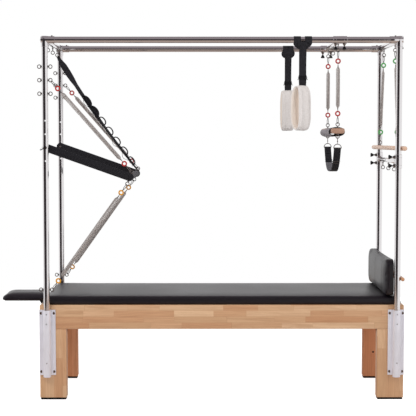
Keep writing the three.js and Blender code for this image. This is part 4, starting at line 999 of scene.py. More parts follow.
class TRAPEZE_OT_sockets(bpy.types.Operator):
    """Build the extruded post sockets with their screws"""

    bl_idname = "trapeze_table.sockets"
    bl_label = "Post Sockets"

    def execute(self, context):
        places, grubs = [], []
        for place, end, side in CORNERS:
            x = end * POST_X
            self.socket(f"post_socket_{place}", x, side)
            for z in (0.174, 0.529):
                places += [((x + d, side * 0.3583, z), (0, side, 0)) for d in (-0.038, 0.038)]
            grubs += [((x, side * (POST_Y + 0.0228), z), (0, side, 0)) for z in (0.527, 0.468, 0.232)]
        dome = [(-0.001, 0.0056), (0.0008, 0.0056), (0.0022, 0.0046), (0.003, 0.003), (0.0032, 0.0022)]
        head = lathe(dome, 20).join(lathe([(0.0032, 0.0022), (0.0018, 0.002), (0.0018, 0.0001)], 6))
        washer = lathe([(-0.001, 0.0085), (0.0004, 0.0085), (0.0008, 0.008), (0.0008, 0.004)], 24)
        grub = lathe([(-0.001, 0.0042), (0.0006, 0.0042), (0.0006, 0.0024), (-0.0012, 0.002)], 12)
        copies("socket_screws", head, places, "browned", "table")
        copies("socket_screw_washers", washer, places, "plated", "table")
        copies("socket_grub_screws", grub, grubs, "plated", "table")
        return {"FINISHED"}

    def socket(self, name, x, side):
        """The flange stands on the leg; its thicker middle runs out into the round boss."""
        half_flange = 0.049
        half = [(half_flange, 0.0003), (half_flange, 0.0078), (0.0485, 0.0083), (0.0345, 0.0083), (0.0335, 0.0093)]
        half += [(0.0335, 0.0105), (0.033, 0.011), (0.024, 0.011), (0.0205, 0.0122), (0.0175, 0.0148)]
        flat = np.array(half + [(0.0, 0.024)] + [(-a, b) for a, b in reversed(half)])
        sections = []
        for z, inset in ((0.153, 0.0006), (0.1536, 0.0), (0.5494, 0.0), (0.55, 0.0006)):
            scaled = flat * (1 - inset / half_flange)
            sections.append([(x + a, side * (HALF_WIDTH + b), z) for a, b in scaled])
        profile = [(0.0002, 0.0), (0, 0.019), (0, 0.0215), (0.0006, 0.0226), (0.0018, 0.023)]
        profile += [(0.404, 0.023), (0.4048, 0.0224), (0.405, 0.0202), (0.403, 0.0198), (0.386, 0.0198), (0.386, 0.0)]
        base = Vector((x, side * POST_Y, 0.145))
        form = Form().skin(sections).turned(base, base + Z, profile, 48)
        form.piece(name + "_extrusion", "aluminium", "table", "socket_metal", [name])


# Canopy --------------------


class TRAPEZE_OT_canopy(bpy.types.Operator):
    """Build the posts, rails, corner fittings and their eyebolts"""

    bl_idname = "trapeze_table.canopy"
    bl_label = "Canopy"

    def execute(self, context):
        for place, end, side in CORNERS:
            self.post(f"post_{place}", end, side)
        reach = POST_X - 0.0223
        for side_name, side in SIDES:
            tube = Form().tube((-reach, side * POST_Y, RAIL_Z), (reach, side * POST_Y, RAIL_Z))
            tube.piece(f"rail_{side_name}_tube", "chrome", "table", "tube_chrome", [f"rail_{side_name}"])
        for end_name, end in ENDS:
            self.cross_rail(end_name, end)
        self.eyebolts()
        return {"FINISHED"}

    def post(self, name, end, side):
        x, y = end * POST_X, side * POST_Y
        made = Form().tube((x, y, 0.1533), (x, y, 2.1417)).piece(name + "_tube", "chrome")
        if end < 0:
            drills = Form()
            for z in (1.446, PIVOT.z, 1.606, 1.686):
                drills.rod((x, y - 0.03, z), (x, y + 0.03, z), 0.0058, 24, 0.0001)
            tool = drills.piece("drills", "chrome")
            cutter = made.modifiers.new("holes", "BOOLEAN")
            cutter.operation, cutter.solver, cutter.object = "DIFFERENCE", "EXACT", tool
            settle(made)
            bpy.data.objects.remove(tool)
            made.data.set_sharp_from_angle(angle=SHARP)
        hand_over(made, "table", [name])

    def cross_rail(self, end_name, end):
        """The cross tube of one end and the cast fittings that it is welded to."""
        x = end * POST_X
        form = Form().rod((x, -POST_Y, RAIL_Z), (x, POST_Y, RAIL_Z), TUBE_R, 64)
        sleeve, bolts = 0.0218, []
        start = [(0, 0.0), (0, sleeve - 0.0022), (0.0008, sleeve - 0.0008), (0.0024, sleeve)]
        lip = [(-0.005, 0), (-0.003, -0.0004), (-0.0022, 0.0009), (-0.0005, 0.0009), (0, -0.0006)]
        for side in (-1, 1):
            corner = Vector((x, side * POST_Y, RAIL_Z))
            for way, length, past in ((-X * end, 0.060, 1), (-Z, 0.042, 1), (-Y * side, 0.060, 0.2)):
                total = length + sleeve * past
                profile = start + [(total + d, sleeve + r) for d, r in lip]
                root = corner - way * sleeve * past
                form.turned(root, root + way, profile + [(total, 0.0193), (total - 0.004, 0.0)], 48)
            inward = 0.043 if end < 0 else 0.024
            bolts.append((corner + Vector((-end * inward, 0, sleeve - 0.0005)), Z))
            out, down = (sleeve - 0.0005, 0) if end < 0 else (0.0186, -0.049)
            bolts.append((corner + Vector((end * out, 0, down)), X * end))
        name = f"end_rail_{end_name}"
        form.piece(name + "_tube", "chrome", "table", "tube_chrome", [name])
        head = lathe([(0, 0.0062), (0.0008, 0.0062), (0.0008, 0.005), (0.0042, 0.0048), (0.005, 0.0038)], 20)
        head.join(lathe([(0.005, 0.0038), (0.005, 0.0024), (0.003, 0.0022), (0.003, 0.0001)], 6))
        copies(name + "_bolts", head, bolts, "plated", "table")

    def eyebolts(self):
        """Eyebolts of the posts and cross rails, all of one pattern and different reach."""
        levels = [(side * POST_Y, z) for _, side in SIDES for z in POST_EYE_LEVELS]
        posts = [((-POST_X + way * 0.0185, y, z), (way, 0, 0)) for y, z in levels for way in (-1, 1)]
        ends = [(end, y * END_EYE_Y) for end, y in ((-1, -1), (-1, 0), (-1, 1), (1, -1), (1, 1))]
        rails = [((end * POST_X, y, RAIL_Z - 0.0185), -Z) for end, y in ends]
        for name, reach, normal, places in (("post", 0.0145, X, posts), ("cross_rail", 0.0315, Y, rails)):
            eye = Form().eyebolt((0, 0, 0), (0, 0, reach), normal)
            copies(name + "_eyebolts", eye, places, "plated", "table")


# Cushions --------------------


def cushion_outline(length, width, corner, drawn, inset, side_steps, corner_steps=6):
    """One closed outline of a cushion, its sides drawn in between the corners."""
    radius = max(corner - inset, corner / 4)
    right, top = length / 2 - inset - radius, width / 2 - inset - radius
    centres = ((right, top), (-right, top), (-right, -top), (right, -top))
    points = []
    for quarter, (x, y) in enumerate(centres):
        for step in range(corner_steps + 1):
            angle = (quarter + step / corner_steps) * math.pi / 2
            points.append((x + radius * math.cos(angle), y + radius * math.sin(angle)))
        next_x, next_y = centres[(quarter + 1) % 4]
        out, count = (quarter + 1) * math.pi / 2, side_steps[quarter % 2]
        for share in (step / count for step in range(1, count)):
            reach = radius - drawn * 4 * share * (1 - share)
            x_at, y_at = x + (next_x - x) * share, y + (next_y - y) * share
            points.append((x_at + reach * math.cos(out), y_at + reach * math.sin(out)))
    return points


def cushion_form(length, width, height, corner, base_roll, roll, crown, drawn, matrix, steps):
    """A closed, crowned cushion lying on its base, then set in place by a matrix."""
    levels = [(base_roll * (1 - math.sin(a)), base_roll * (1 - math.cos(a))) for a in quarter_turn(6)]
    shoulder = height - crown - roll
    levels += [(roll * (1 - math.cos(a)), shoulder + roll * math.sin(a)) for a in quarter_turn(7)]
    reach = min(length, width) / 2 - roll - 0.002
    for share in (0.05, 0.12, 0.22, 0.35, 0.5, 0.68, 0.85, 1.0):
        levels.append((roll + reach * share, height - crown * (1 - min(1, share * 1.6)) ** 2))
    outlines = [(cushion_outline(length, width, corner, drawn, inset, steps), z) for inset, z in levels]
    return Form().skin([[(x, y, z) for x, y in outline] for outline, z in outlines]).moved(matrix)


def swell(piece, voxel, pressure, cap, keep):
    """Blows a closed cushion up a little with cloth under pressure, then softens it with a subdivision.

    No point moves further than cap; keep then puts points back on the faces that stay flat.
    """
    vinyl = piece.data.materials[0]
    remesh = piece.modifiers.new("remesh", "REMESH")
    remesh.mode, remesh.voxel_size, remesh.use_smooth_shade = "VOXEL", voxel, True
    settle(piece)
    before = np.array([v.co for v in piece.data.vertices])
    cloth = piece.modifiers.new("cloth", "CLOTH")
    settings = cloth.settings
    settings.quality, settings.mass, settings.effector_weights.gravity = 5, 0.3, 0.0
    settings.use_pressure, settings.uniform_pressure_force = True, pressure
    settings.tension_stiffness = settings.compression_stiffness = 18
    settings.bending_stiffness = 3
    cloth.collision_settings.use_collision = False
    for step in range(1, 21):
        bpy.context.scene.frame_set(step)
    settle(piece)
    bpy.context.scene.frame_set(1)
    moved = np.array([v.co for v in piece.data.vertices]) - before
    far = np.linalg.norm(moved, axis=1)
    after = keep(before, before + moved * np.minimum(1.0, cap / np.maximum(far, 1e-9))[:, None])
    piece.data.vertices.foreach_set("co", after.astype(np.float32).ravel())
    piece.data.update()
    piece.data.materials.clear()
    piece.data.materials.append(vinyl)
    smoothed(piece)
    piece.data.shade_smooth()


def laid_on(piece, path, lift):
    """Moves the points of a path on to a piece's surface, a little above it. Row-frame metres."""
    tree = BVHTree.FromPolygons([v.co for v in piece.data.vertices], [list(p.vertices) for p in piece.data.polygons])
    found = [tree.find_nearest(Vector(point)) for point in path]
    return [place + normal * lift for place, normal, _, _ in found]


def seam(name, piece, outlines, body, radius):
    """Welts sewn round a cushion, each with a row of stitches beside it, towards the middle."""
    form, rows = Form(), []
    for outline in outlines:
        laid = laid_on(piece, [FLOOR_POINT + Vector(p) for p in outline], -radius * 0.25)
        form.wire([p - FLOOR_POINT for p in laid], radius, 8, ring=True)
        centre = sum(laid, Vector()) / len(laid)
        row = laid_on(piece, [p + (centre - p).normalized() * 0.0045 for p in laid], 0.0001)
        rows.append(row + row[:1])
    form.piece(name + "_welt", "vinyl", body, "upholstery")
    stitches(name + "_stitches", rows, body)


class TRAPEZE_OT_cushions(bpy.types.Operator):
    """Build the mattress, the back pad and the extension cushion with their boards"""

    bl_idname = "trapeze_table.cushions"
    bl_label = "Cushions"

    def execute(self, context):
        self.mattress()
        self.back_pad()
        self.extension()
        return {"FINISHED"}

    def mattress(self):
        length, width, height, bottom = 2.19, 0.684, 0.054, MATTRESS_LOW
        lift, roll = Matrix.Translation((0, 0, bottom)), context_sizes().roll
        form = cushion_form(length, width - 0.002, height, 0.034, 0.006, roll, 0.005, 0.003, lift, (96, 32))
        for index, (x, y, z) in enumerate(form.points):
            lean = max(0.0, abs(x) - 1.0) / 0.095 * 0.02 * max(0.0, (z - bottom) / height) ** 1.4
            form.points[index] = (x - math.copysign(lean, x), y, z)
        made = form.piece("mattress_cover", "vinyl")

        def keep(before, after):
            after[:, 2] = np.where(before[:, 2] < bottom + 0.003, before[:, 2], after[:, 2])
            after[:, 2] = np.maximum(after[:, 2], bottom)
            return after

        swell(made, 0.011, 3.0, 0.004, keep)
        hand_over(made, "table", ["mattress"])
        for name, inset, z, radius in (("mattress", 0.0006, 0.036, 0.0011), ("mattress_base", 0.0015, 0.014, 0.0009)):
            outline = cushion_outline(length, width, 0.034, 0.003, inset, (160, 60), 8)
            seam(name, made, [[(x, y, bottom + z) for x, y in outline]], "table", radius)

    def back_pad(self):
        back, dowel_z = POST_X - TUBE_R - CLEAR, 0.738
        middle_z = MATTRESS_LOW + MATTRESS_DEPTH + CLEAR + 0.11
        stand = Matrix.Translation((back, 0, middle_z)) @ Matrix.Rotation(-math.pi / 2, 4, "Y")
        form = cushion_form(0.224, 0.766, 0.055, 0.046, 0.001, 0.016, 0.006, 0.001, stand, (20, 60))
        for index, (x, y, z) in enumerate(form.points):
            bend = max(0.0, (abs(y) - 0.25) / 0.133) ** 2
            form.points[index] = (x + (back - x) * 0.18 * bend, y, z)
        made = form.piece("back_pad_cover", "vinyl")

        def keep(before, after):
            limit = back + FLOOR_POINT.x
            after[:, 0] = np.where(before[:, 0] > limit - 0.007, limit, np.minimum(after[:, 0], limit))
            after[:, 2] = np.maximum(after[:, 2], 0.6338)
            return after

        swell(made, 0.005, 4.0, 0.005, keep)
        hand_over(made, "back_pad", ["back_pad"])
        rounds = []
        for inset, depth in ((0.0, 0.014), (0.001, 0.037)):
            outline = cushion_outline(0.22, 0.756, 0.046, 0.003, inset, (40, 100), 10)
            rounds.append([stand @ Vector((x, y, depth)) for x, y in outline])
        seam("back_pad", made, rounds, "back_pad", 0.0013)
        uprights = Form()
        for y in (-0.27, 0.0, 0.27):
            line = [FLOOR_POINT + Vector((back - 0.06, y, middle_z + d)) for d in np.linspace(-0.1, 0.1, 25)]
            uprights.wire([p - FLOOR_POINT for p in laid_on(made, line, -0.0002)], 0.0008, 8)
        uprights.piece("back_pad_upright_seams", "vinyl", "back_pad", "upholstery")
        radius, half = 0.011, 0.406
        x = POST_X + TUBE_R + 0.0008 + radius
        dowel = Form().turned((x, -half, dowel_z), (x, half, dowel_z), domed(radius, 0.0077, 2 * half, 7), 40)
        for y in (-0.25, 0.25):
            dowel.rod((POST_X - TUBE_R, y, dowel_z), (x, y, dowel_z), 0.009, 28)
        dowel.piece("back_pad_dowel_turned", "pad_dowel_wood", "back_pad", "wood", ["back_pad_dowel"])

    def extension(self):
        """A domed cushion on a dished board with two tongues that slide into the end apron."""
        x, bottom, half = -1.2335, 0.628 - 0.052, 0.1335
        outline = cushion_outline(0.267, 0.262, 0.034, 0.003, 0.0, (26, 26))
        sections = []
        for angle in quarter_turn(15):
            rise, inset = math.sin(angle), 1 - math.cos(angle)
            spread = [(a * (1 - inset * (0.082 if a < 0 else 0.03) / half), b * (1 - inset * 0.66)) for a, b in outline]
            sections.append([(x + a, b, bottom + 0.003 + 0.037 * rise) for a, b in spread])

        def shrunk(section, share, lift=None):
            """A section drawn in towards the middle, on its own level or on another."""
            return [(x + (a - x) * share, b * share, c if lift is None else bottom + lift) for a, b, c in section]

        base = [shrunk(sections[0], share, 0) for share in (0.5, 0.97, 0.99)] + [shrunk(sections[0], 0.998, 0.0015)]
        inner = [shrunk(sections[-1], share) for share in (0.7, 0.4, 0.12)]
        made = Form().skin(base + sections + inner).piece("extension_cushion_cover", "vinyl")

        def keep(before, after):
            after[:, 2] = np.where(before[:, 2] < bottom + 0.003, before[:, 2], after[:, 2])
            after[:, 0] = np.minimum(after[:, 0], FLOOR_POINT.x - 1.0985)
            return after

        swell(made, 0.004, 3.0, 0.0025, keep)
        hand_over(made, "extension", ["extension_cushion"])
        outline = cushion_outline(0.267, 0.262, 0.034, 0.003, 0.0, (40, 40), 8)
        seam("extension_cushion", made, [[(x + a, b, bottom + 0.0035) for a, b in outline]], "extension", 0.0012)
        # The board and its tongues are black so that under the cushion they read as its shade: painted shade on a real
        # board.
        flat = [(-0.115, 0.0), (0.115, 0.0), (0.115, -0.004), (0.03, -0.017), (-0.03, -0.017), (-0.115, -0.004)]
        ends = ((-0.1175, 0.99), (-0.1165, 1), (0.1165, 1), (0.1175, 0.99))
        board = Form().skin([[(x + at, b * k, bottom - 0.0003 + c * k) for b, c in flat] for at, k in ends])
        profile = [(-1.132, 0.5675), (-1.122, 0.5675), (-1.112, 0.5585), (-0.9, 0.5585)]
        profile += [(-0.9, 0.5407), (-1.116, 0.5407), (-1.132, 0.5635)]
        for middle_y in (-0.08, 0.08):
            board.skin([[(a, y, z) for a, z in profile] for y in (middle_y - 0.018, middle_y + 0.018)])
        board.piece("extension_board_painted", "paint", "extension", "wood", ["extension_board"])


# Springs --------------------


def snap_hook(form, eye, way, across, reach):
    """A pear-shaped snap hook from the inside of an eye to the far end of its swivel, reach along the way."""
    radius, wire, body = 0.0048, 0.0019, reach * 0.62
    outline = []
    for angle in np.linspace(0, 2 * math.pi, 33)[:-1]:
        along = (1 - math.cos(angle)) / 2
        half = radius * math.sin(angle) * (0.95 if along < 0.5 else 1.15 - 0.4 * along)
        outline.append(eye + way * (along * body) + across * half)
    form.wire(outline, wire, 8, ring=True)
    gate_from, gate_to = eye + way * body * 0.3, eye + way * body * 0.78
    form.rod(gate_from + across * radius * 0.98, gate_to + across * radius * 0.8, wire * 1.15, 10, 0.0003)
    swivel = eye + way * (body - 0.001)
    barrel = [(0, 0.0026), (0.001, 0.0036), (0.006, 0.0036), (0.007, 0.0026), (0.008, 0.0017)]
    form.turned(swivel, swivel + way, barrel, 18)
    form.wire([swivel + way * 0.007, eye + way * (reach - 0.0102)], 0.0017, 10)


def spring(name, eye_a, eye_b, ring_finish, bodies, coil_radius=0.0112):
    """A tension spring with its hooks and colour rings, hooked into two eyes of two bodies."""
    hook, ring_r = 0.060, 0.0125
    body = (*bodies, eye_a, eye_b)
    flat = eye_b - eye_a
    flat.y = 0
    flat.normalize()
    start, end = eye_a + flat * EYE_SEAT, eye_b - flat * EYE_SEAT
    way, length = (end - start).normalized(), (end - start).length
    across = Y.cross(way).normalized()
    fittings, rings = Form(), Form()
    for point, direction in ((start, way), (end, -way)):
        snap_hook(fittings, point, direction, across, hook)
        centre = point + direction * hook
        rings.torus(centre, way.cross(across), ring_r, 0.0043, 30, 12)
        fittings.wire([centre + direction * d for d in (0.0104, 0.016, 0.024, 0.0345)], 0.0016, 10)
        fittings.torus(centre + direction * ring_r, across, 0.0042, 0.0015, 16, 8)
        root = centre + direction * 0.022
        fittings.turned(root, root + direction, [(0, 0.0022), (0.008, 0.0034), (0.012, 0.003)], 16)
    base = bpy.data.meshes.new(name)
    base.from_pydata([(0, 0, 0)], [], [])
    sizes, lead = context_sizes(), 0.094
    values = {"Length": length - 2 * lead, "Coil_Radius": coil_radius, "Wire_Radius": sizes.wire}
    values |= {"Pitch": sizes.pitch, "From": tuple(FLOOR_POINT + start + way * lead), "Turn": euler_to(way)}
    coil = run_tree(name + "_coil", base, TREES["coil"], Finish=FINISHES["spring"], **values)
    hand_over(coil, body, [name])
    fittings.piece(name + "_hooks", "plated", body, "spring_steel")
    rings.piece(name + "_rings", ring_finish, body, "spring_steel")


def arm_point(along, y, up=0):
    """A point of the push-through bar, from its pivot along the arm and square to it."""
    c, s = math.cos(ARM_DROP), math.sin(ARM_DROP)
    return Vector((PIVOT.x + along * c + up * s, y, PIVOT.z - along * s + up * c))


class TRAPEZE_OT_push_bar(bpy.types.Operator):
    """Build the push-through bar with its springs and safety strap"""

    bl_idname = "trapeze_table.push_bar"
    bl_label = "Push-Through Bar"

    def execute(self, context):
        reach = BAR_Y - CLEAR
        bar = Form().rod(arm_point(ARM_LENGTH, -reach), arm_point(ARM_LENGTH, reach), 0.012, 40)
        bar.piece("push_bar_cross_bar_tube", "paint", "push_bar", "black_paint", ["push_bar_cross_bar"])
        for side_name, side in SIDES:
            self.arm(f"push_bar_arm_{side_name}", side)
            self.grip(f"push_bar_grip_{side_name}", side)
            for level, place, up, colour in (("upper", 2, BAR_EYE_UP, "red"), ("lower", 0, BAR_EYE_DOWN, "yellow")):
                post_eye = Vector((-POST_X + POST_EYE_OUT, side * POST_Y, POST_EYE_LEVELS[place]))
                arm_eye = arm_point(ARM_LENGTH, side * ARM_Y, up)
                spring(f"push_spring_{level}_{side_name}", post_eye, arm_eye, colour, ("table", "push_bar"))
        self.safety_strap()
        return {"FINISHED"}

    def arm(self, name, side):
        """A flat bar with round ends, its pivot pin with lever and bush, the cross-bar bolt and two eyebolts."""
        y, reach, way = side * ARM_Y, 0.0238, Y * side
        half = []
        for start, middle_x in ((math.pi / 2, 0), (-math.pi / 2, ARM_LENGTH)):
            angles = np.linspace(start, start + math.pi, 25)
            half += [(middle_x + reach * math.cos(angle), reach * math.sin(angle)) for angle in angles]
        levels = [(-0.006, 0.0018), (-0.0055, 0.0006), (-0.0042, 0)]
        sections = []
        for across, inset in mirrored(levels, 0):
            share = inset / 0.022
            drawn = [(a - share * (a - min(max(a, 0), ARM_LENGTH)), b * (1 - share)) for a, b in half]
            sections.append([arm_point(a, y + across, b) for a, b in drawn])
        Form().skin(sections).piece(name + "_bar", "paint", "push_bar", "black_paint", [name])
        outside = POST_Y + 0.0198
        metal = Form().rod(arm_point(0, y), arm_point(0, side * (outside + 0.001)), 0.005, 24)
        for root, eye in ((0.0205, BAR_EYE_UP), (-0.0205, BAR_EYE_DOWN)):
            metal.eyebolt(arm_point(ARM_LENGTH, y, root), arm_point(ARM_LENGTH, y, eye))
        inner, outer = arm_point(0, side * BAR_Y), arm_point(ARM_LENGTH, side * 0.3602)
        metal.turned(inner, inner - way, [(0, 0.0066), (0.002, 0.0062), (0.0035, 0.004), (0.0036, 0.0)], 24)
        metal.piece(name + "_fittings", "plated", "push_bar", "tube_chrome")
        cap = [(0, 0.0085), (0.0006, 0.0085), (0.0022, 0.0072), (0.003, 0.004), (0.0031, 0.0)]
        knob = Form().turned(outer, outer + way, cap, 24)
        head = arm_point(0, side * outside)
        profile = [(0, 0.0098), (0.0008, 0.011), (0.005, 0.011), (0.0062, 0.0098), (0.0062, 0.0045)]
        knob.turned(head, head + way, profile, 32)
        lever_y = side * (outside + 0.0032)
        knob.wire([arm_point(a, lever_y, b) for a, b in ((0, 0), (-0.009, -0.010), (-0.017, -0.0175))], 0.0026, 10)
        knob.torus(arm_point(-0.0195, lever_y, -0.019), Y, 0.0034, 0.0017, 16, 8)
        knob.piece(name + "_pin_head", "paint", "push_bar", "black_paint")
        bush = Form().turned(head + way * 0.0055, head + way, [(0, 0.006), (0.0014, 0.0058), (0.002, 0.0)], 24)
        bush.piece(name + "_pin_bush", "browned", "push_bar", "tube_chrome")

    def grip(self, name, side):
        """A foam sleeve with softened ends."""
        start, end = arm_point(ARM_LENGTH, side * 0.014), arm_point(ARM_LENGTH, side * 0.3432)
        length = (end - start).length
        rim = [(0, 0.0123), (0, 0.0165), (0.0012, 0.0188), (0.004, 0.02)]
        belly = [(d, 0.02 + 0.0004 * math.sin(d * 60)) for d in np.linspace(0.02, length - 0.02, 14)]
        profile = rim + belly + [(length - d, r) for d, r in reversed(rim)]
        grip = Form().turned(start, end, profile, 40)
        grip.piece(name + "_foam", "foam_grip", "push_bar", "grip_foam", [name])

    def safety_strap(self):
        """Webbing that turns from flat-on to edge-on on its way down, with sewn loops that stand off it."""
        strap_y = BAR_Y - 0.020
        top = Vector((-POST_X, END_EYE_Y, RAIL_Z - END_EYE_DROP))
        foot = arm_point(ARM_LENGTH, strap_y, 0.012 + 0.005 + EYE_R)
        flat = Vector((foot.x - top.x, 0, foot.z - top.z)).normalized()
        start, end = top + flat * 0.008, foot - flat * 0.008
        way, length = (end - start).normalized(), (end - start).length
        out = way.cross(Y).normalized()
        count, pitch = 110, 0.0805
        lay = lambda share: start + way * (length * share) - out * (0.013 * math.sin(share * math.pi) ** 1.2 + 0.004)
        shares = [step / count for step in range(count + 1)]
        turns = -np.radians(np.interp(shares, (0, 0.13, 0.24, 0.5, 0.62, 1), (5, 5, 58, 60, 74, 74)))
        full = rounded(0.040, 0.0034, 0.0016, 2)
        taper = lambda i: full * np.array([0.32 + 0.68 * min(1, i / 9, (count - i) / 7), 1.0])
        band = Form().sweep([lay(share) for share in shares], taper, side=out, turn=turns)
        bend = ("table", "push_bar", start, end)
        loops, wires = Form(), Form()
        for index, height in enumerate((0.019, 0.022, 0.023, 0.024, 0.024, 0.023, 0.019)):
            share = (length - 0.062 - index * pitch) / length
            openness = min(1.0, max(0.0, (share - 0.50) / 0.06))
            half_share, power, width = (0.36, 0.75, 0.022) if openness > 0.5 else (0.50, 1.1, 0.034)
            centre = lay(share) + out * (0.003 + 0.001 * openness)
            arc = []
            for angle in np.linspace(0, math.pi, 21):
                rise = height * max(0.0, math.sin(angle)) ** power
                arc.append(centre - way * (pitch * half_share * math.cos(angle)) + out * rise)
            loops.sweep(arc, rounded(width, 0.0072, 0.003, 2), side=Y)
            if openness < 0.5:
                for shift in (-0.004, 0.006):
                    loops.skin([[p + Y * (shift + d) for p in arc] for d in (-0.0015, 0.0015)])
        cord = []
        for share in np.linspace(0.30, 0.97, 150):
            wander = 0.013 + 0.013 * math.sin(share * 52) * (0.5 + share * 0.5)
            cord.append(lay(share) - out * wander + Y * (0.008 * math.cos(share * 52)))
        wires.wire(cord, 0.0013, 6)
        for point, toward in ((top, way), (foot, -way)):
            wires.torus(point + toward * 0.010, Y.cross(way), 0.007, 0.0014, 20, 8)
        band.join(loops).piece("safety_strap_webbing", "webbing", bend, "black_webbing", ["safety_strap"])
        wires.piece("safety_strap_cord", "rubber", bend, "black_webbing")
        carrier = Form().torus(foot, Y, EYE_R, EYE_WIRE)
        saddle = arm_point(ARM_LENGTH, strap_y, 0.011)
        carrier.rod(saddle, foot - (foot - saddle).normalized() * EYE_R, 0.003, 14)
        sleeve = [arm_point(ARM_LENGTH, strap_y + d) for d in (-0.006, 0.006)]
        carrier.turned(*sleeve, [(0, 0.0135), (0.012, 0.0135)], 32)
        carrier.piece("safety_strap_clamp_eye", "plated", "push_bar", "tube_chrome")


# Sliders --------------------


def knob_form():
    """A cone knob, narrow at its neck and wide at its rim, with finger flutes, along +Z from its neck."""
    profile = [(0.0, POINT), (0.0, 0.0044), (0.0006, 0.0058), (0.005, 0.0078), (0.011, 0.0108), (0.0155, 0.0128)]
    profile += [(0.018, 0.0134), (0.0197, 0.013), (0.0206, 0.0116), (0.0206, 0.006), (0.0198, 0.0052), (0.0198, POINT)]
    sections = []
    for height, radius in profile:
        ring = []
        for angle in np.arange(36) * math.pi / 18:
            reach = radius * (1 - 0.035 * max(0.0, math.cos(6 * angle)) * min(1.0, height / 0.008))
            ring.append((reach * math.cos(angle), reach * math.sin(angle), height))
        sections.append(ring)
    return Form().skin(sections, caps=False)


def slider(name, centre, along, down, eye_y, eye_reach, knob_bodies):
    """A cross tube between two clamp collars on rails or posts, with its clamp screws and eyebolts."""
    reach, half, seat = POST_Y - 0.0195, 0.041, 0.0145
    form = Form().rod(centre - Y * reach, centre + Y * reach, 0.015, 56)
    fittings, necks = Form(), []
    profile = [(0, 0.0198), (0, 0.0212), (0.0012, 0.0225), (0.0165, 0.0225), (0.0172, 0.0219), (0.0182, 0.0219)]
    profile += [(0.0189, 0.0225), (half, 0.0225)]
    profile += [(2 * half - d, r) for d, r in reversed(profile[:-1])]
    boss = [(0.018, 0.0108), (0.0235, 0.0104), (0.028, 0.0082), (0.033, 0.0054), (0.0355, 0.0042), (0.0355, 0.0)]
    for _, side in SIDES:
        collar = centre + Y * side * POST_Y
        form.hollow(collar - along * half, along, down, profile, 56)
        for place in (-0.026, 0.026):
            root = collar + along * place
            fittings.turned(root, root + down, boss, 32)
            fittings.rod(root + down * 0.034, root + down * 0.0505, 0.003, 16)
            necks.append(root + down * 0.0385)
        pad = collar - Y * side * 0.018
        form.turned(pad, pad - Y * side, [(0, 0.0185), (0.008, 0.0185), (0.012, 0.0165), (0.014, 0.015)], 48)
    form.piece(name + "_tube", "chrome", name, "tube_chrome", [name])
    fittings.piece(name + "_bosses", "plated", name, "tube_chrome")
    eye = Form().eyebolt((0, 0, 0), (0, 0, eye_reach - seat))
    places = [(centre + Y * y - Z * seat, -Z) for y in (-eye_y, 0, eye_y)]
    copies(name + "_eyebolts", eye, places, "plated", name)
    for place in (f"{side_name}_{number}" for side_name, _ in SIDES for number in (1, 2)):
        node = f"{name}_knob_{place}"
        neck = min(necks, key=lambda point: (FLOOR_POINT + point - middle(node)).length)
        copies(node + "_cone", knob_form(), [(neck, down)], "knob", f"{knob_bodies}_{place}", [node])


class TRAPEZE_OT_sliders(bpy.types.Operator):
    """Build the two sliders with their clamp knobs"""

    bl_idname = "trapeze_table.sliders"
    bl_label = "Sliders and Knobs"

    def execute(self, context):
        slider("top_slider", Vector((SLIDER_X, 0, RAIL_Z)), X, -Z, TOP_EYE_Y, TOP_EYE_DROP, "top_knob")
        slider("roll_slider", Vector((POST_X, 0, ROLL_SLIDER_Z)), Z, -X, END_EYE_Y, 0.051, "roll_knob")
        return {"FINISHED"}


# Trapeze --------------------


def strap_hook(form, eye_bottom, ring_top):
    """A snap hook that hangs in an eye and carries the top of a ring below it."""
    drop = min(0.022, (eye_bottom - ring_top).length * 0.6)
    outline = []
    for angle in np.linspace(0, 2 * math.pi, 25)[:-1]:
        outline.append(eye_bottom - Z * ((1 - math.cos(angle)) / 2 * drop) + Y * (0.0072 * math.sin(angle)))
    form.wire(outline, 0.0017, 8, ring=True)
    low = eye_bottom - Z * drop
    form.turned(low, low - Z, [(-0.001, 0.0028), (0.001, 0.0036), (0.005, 0.0036), (0.007, 0.0022)], 16)
    form.wire([low - Z * 0.006, ring_top], 0.0017, 10)


def oval(half_width, half_height, power_x, power_z):
    """A flat oval; a power below 1 squares it."""
    angles = np.arange(64) * 2 * math.pi / 64
    ways = zip((half_width, half_height), (np.cos(angles), np.sin(angles)), (power_x, power_z))
    return np.stack([half * np.sign(part) * np.abs(part) ** power for half, part, power in ways], 1)


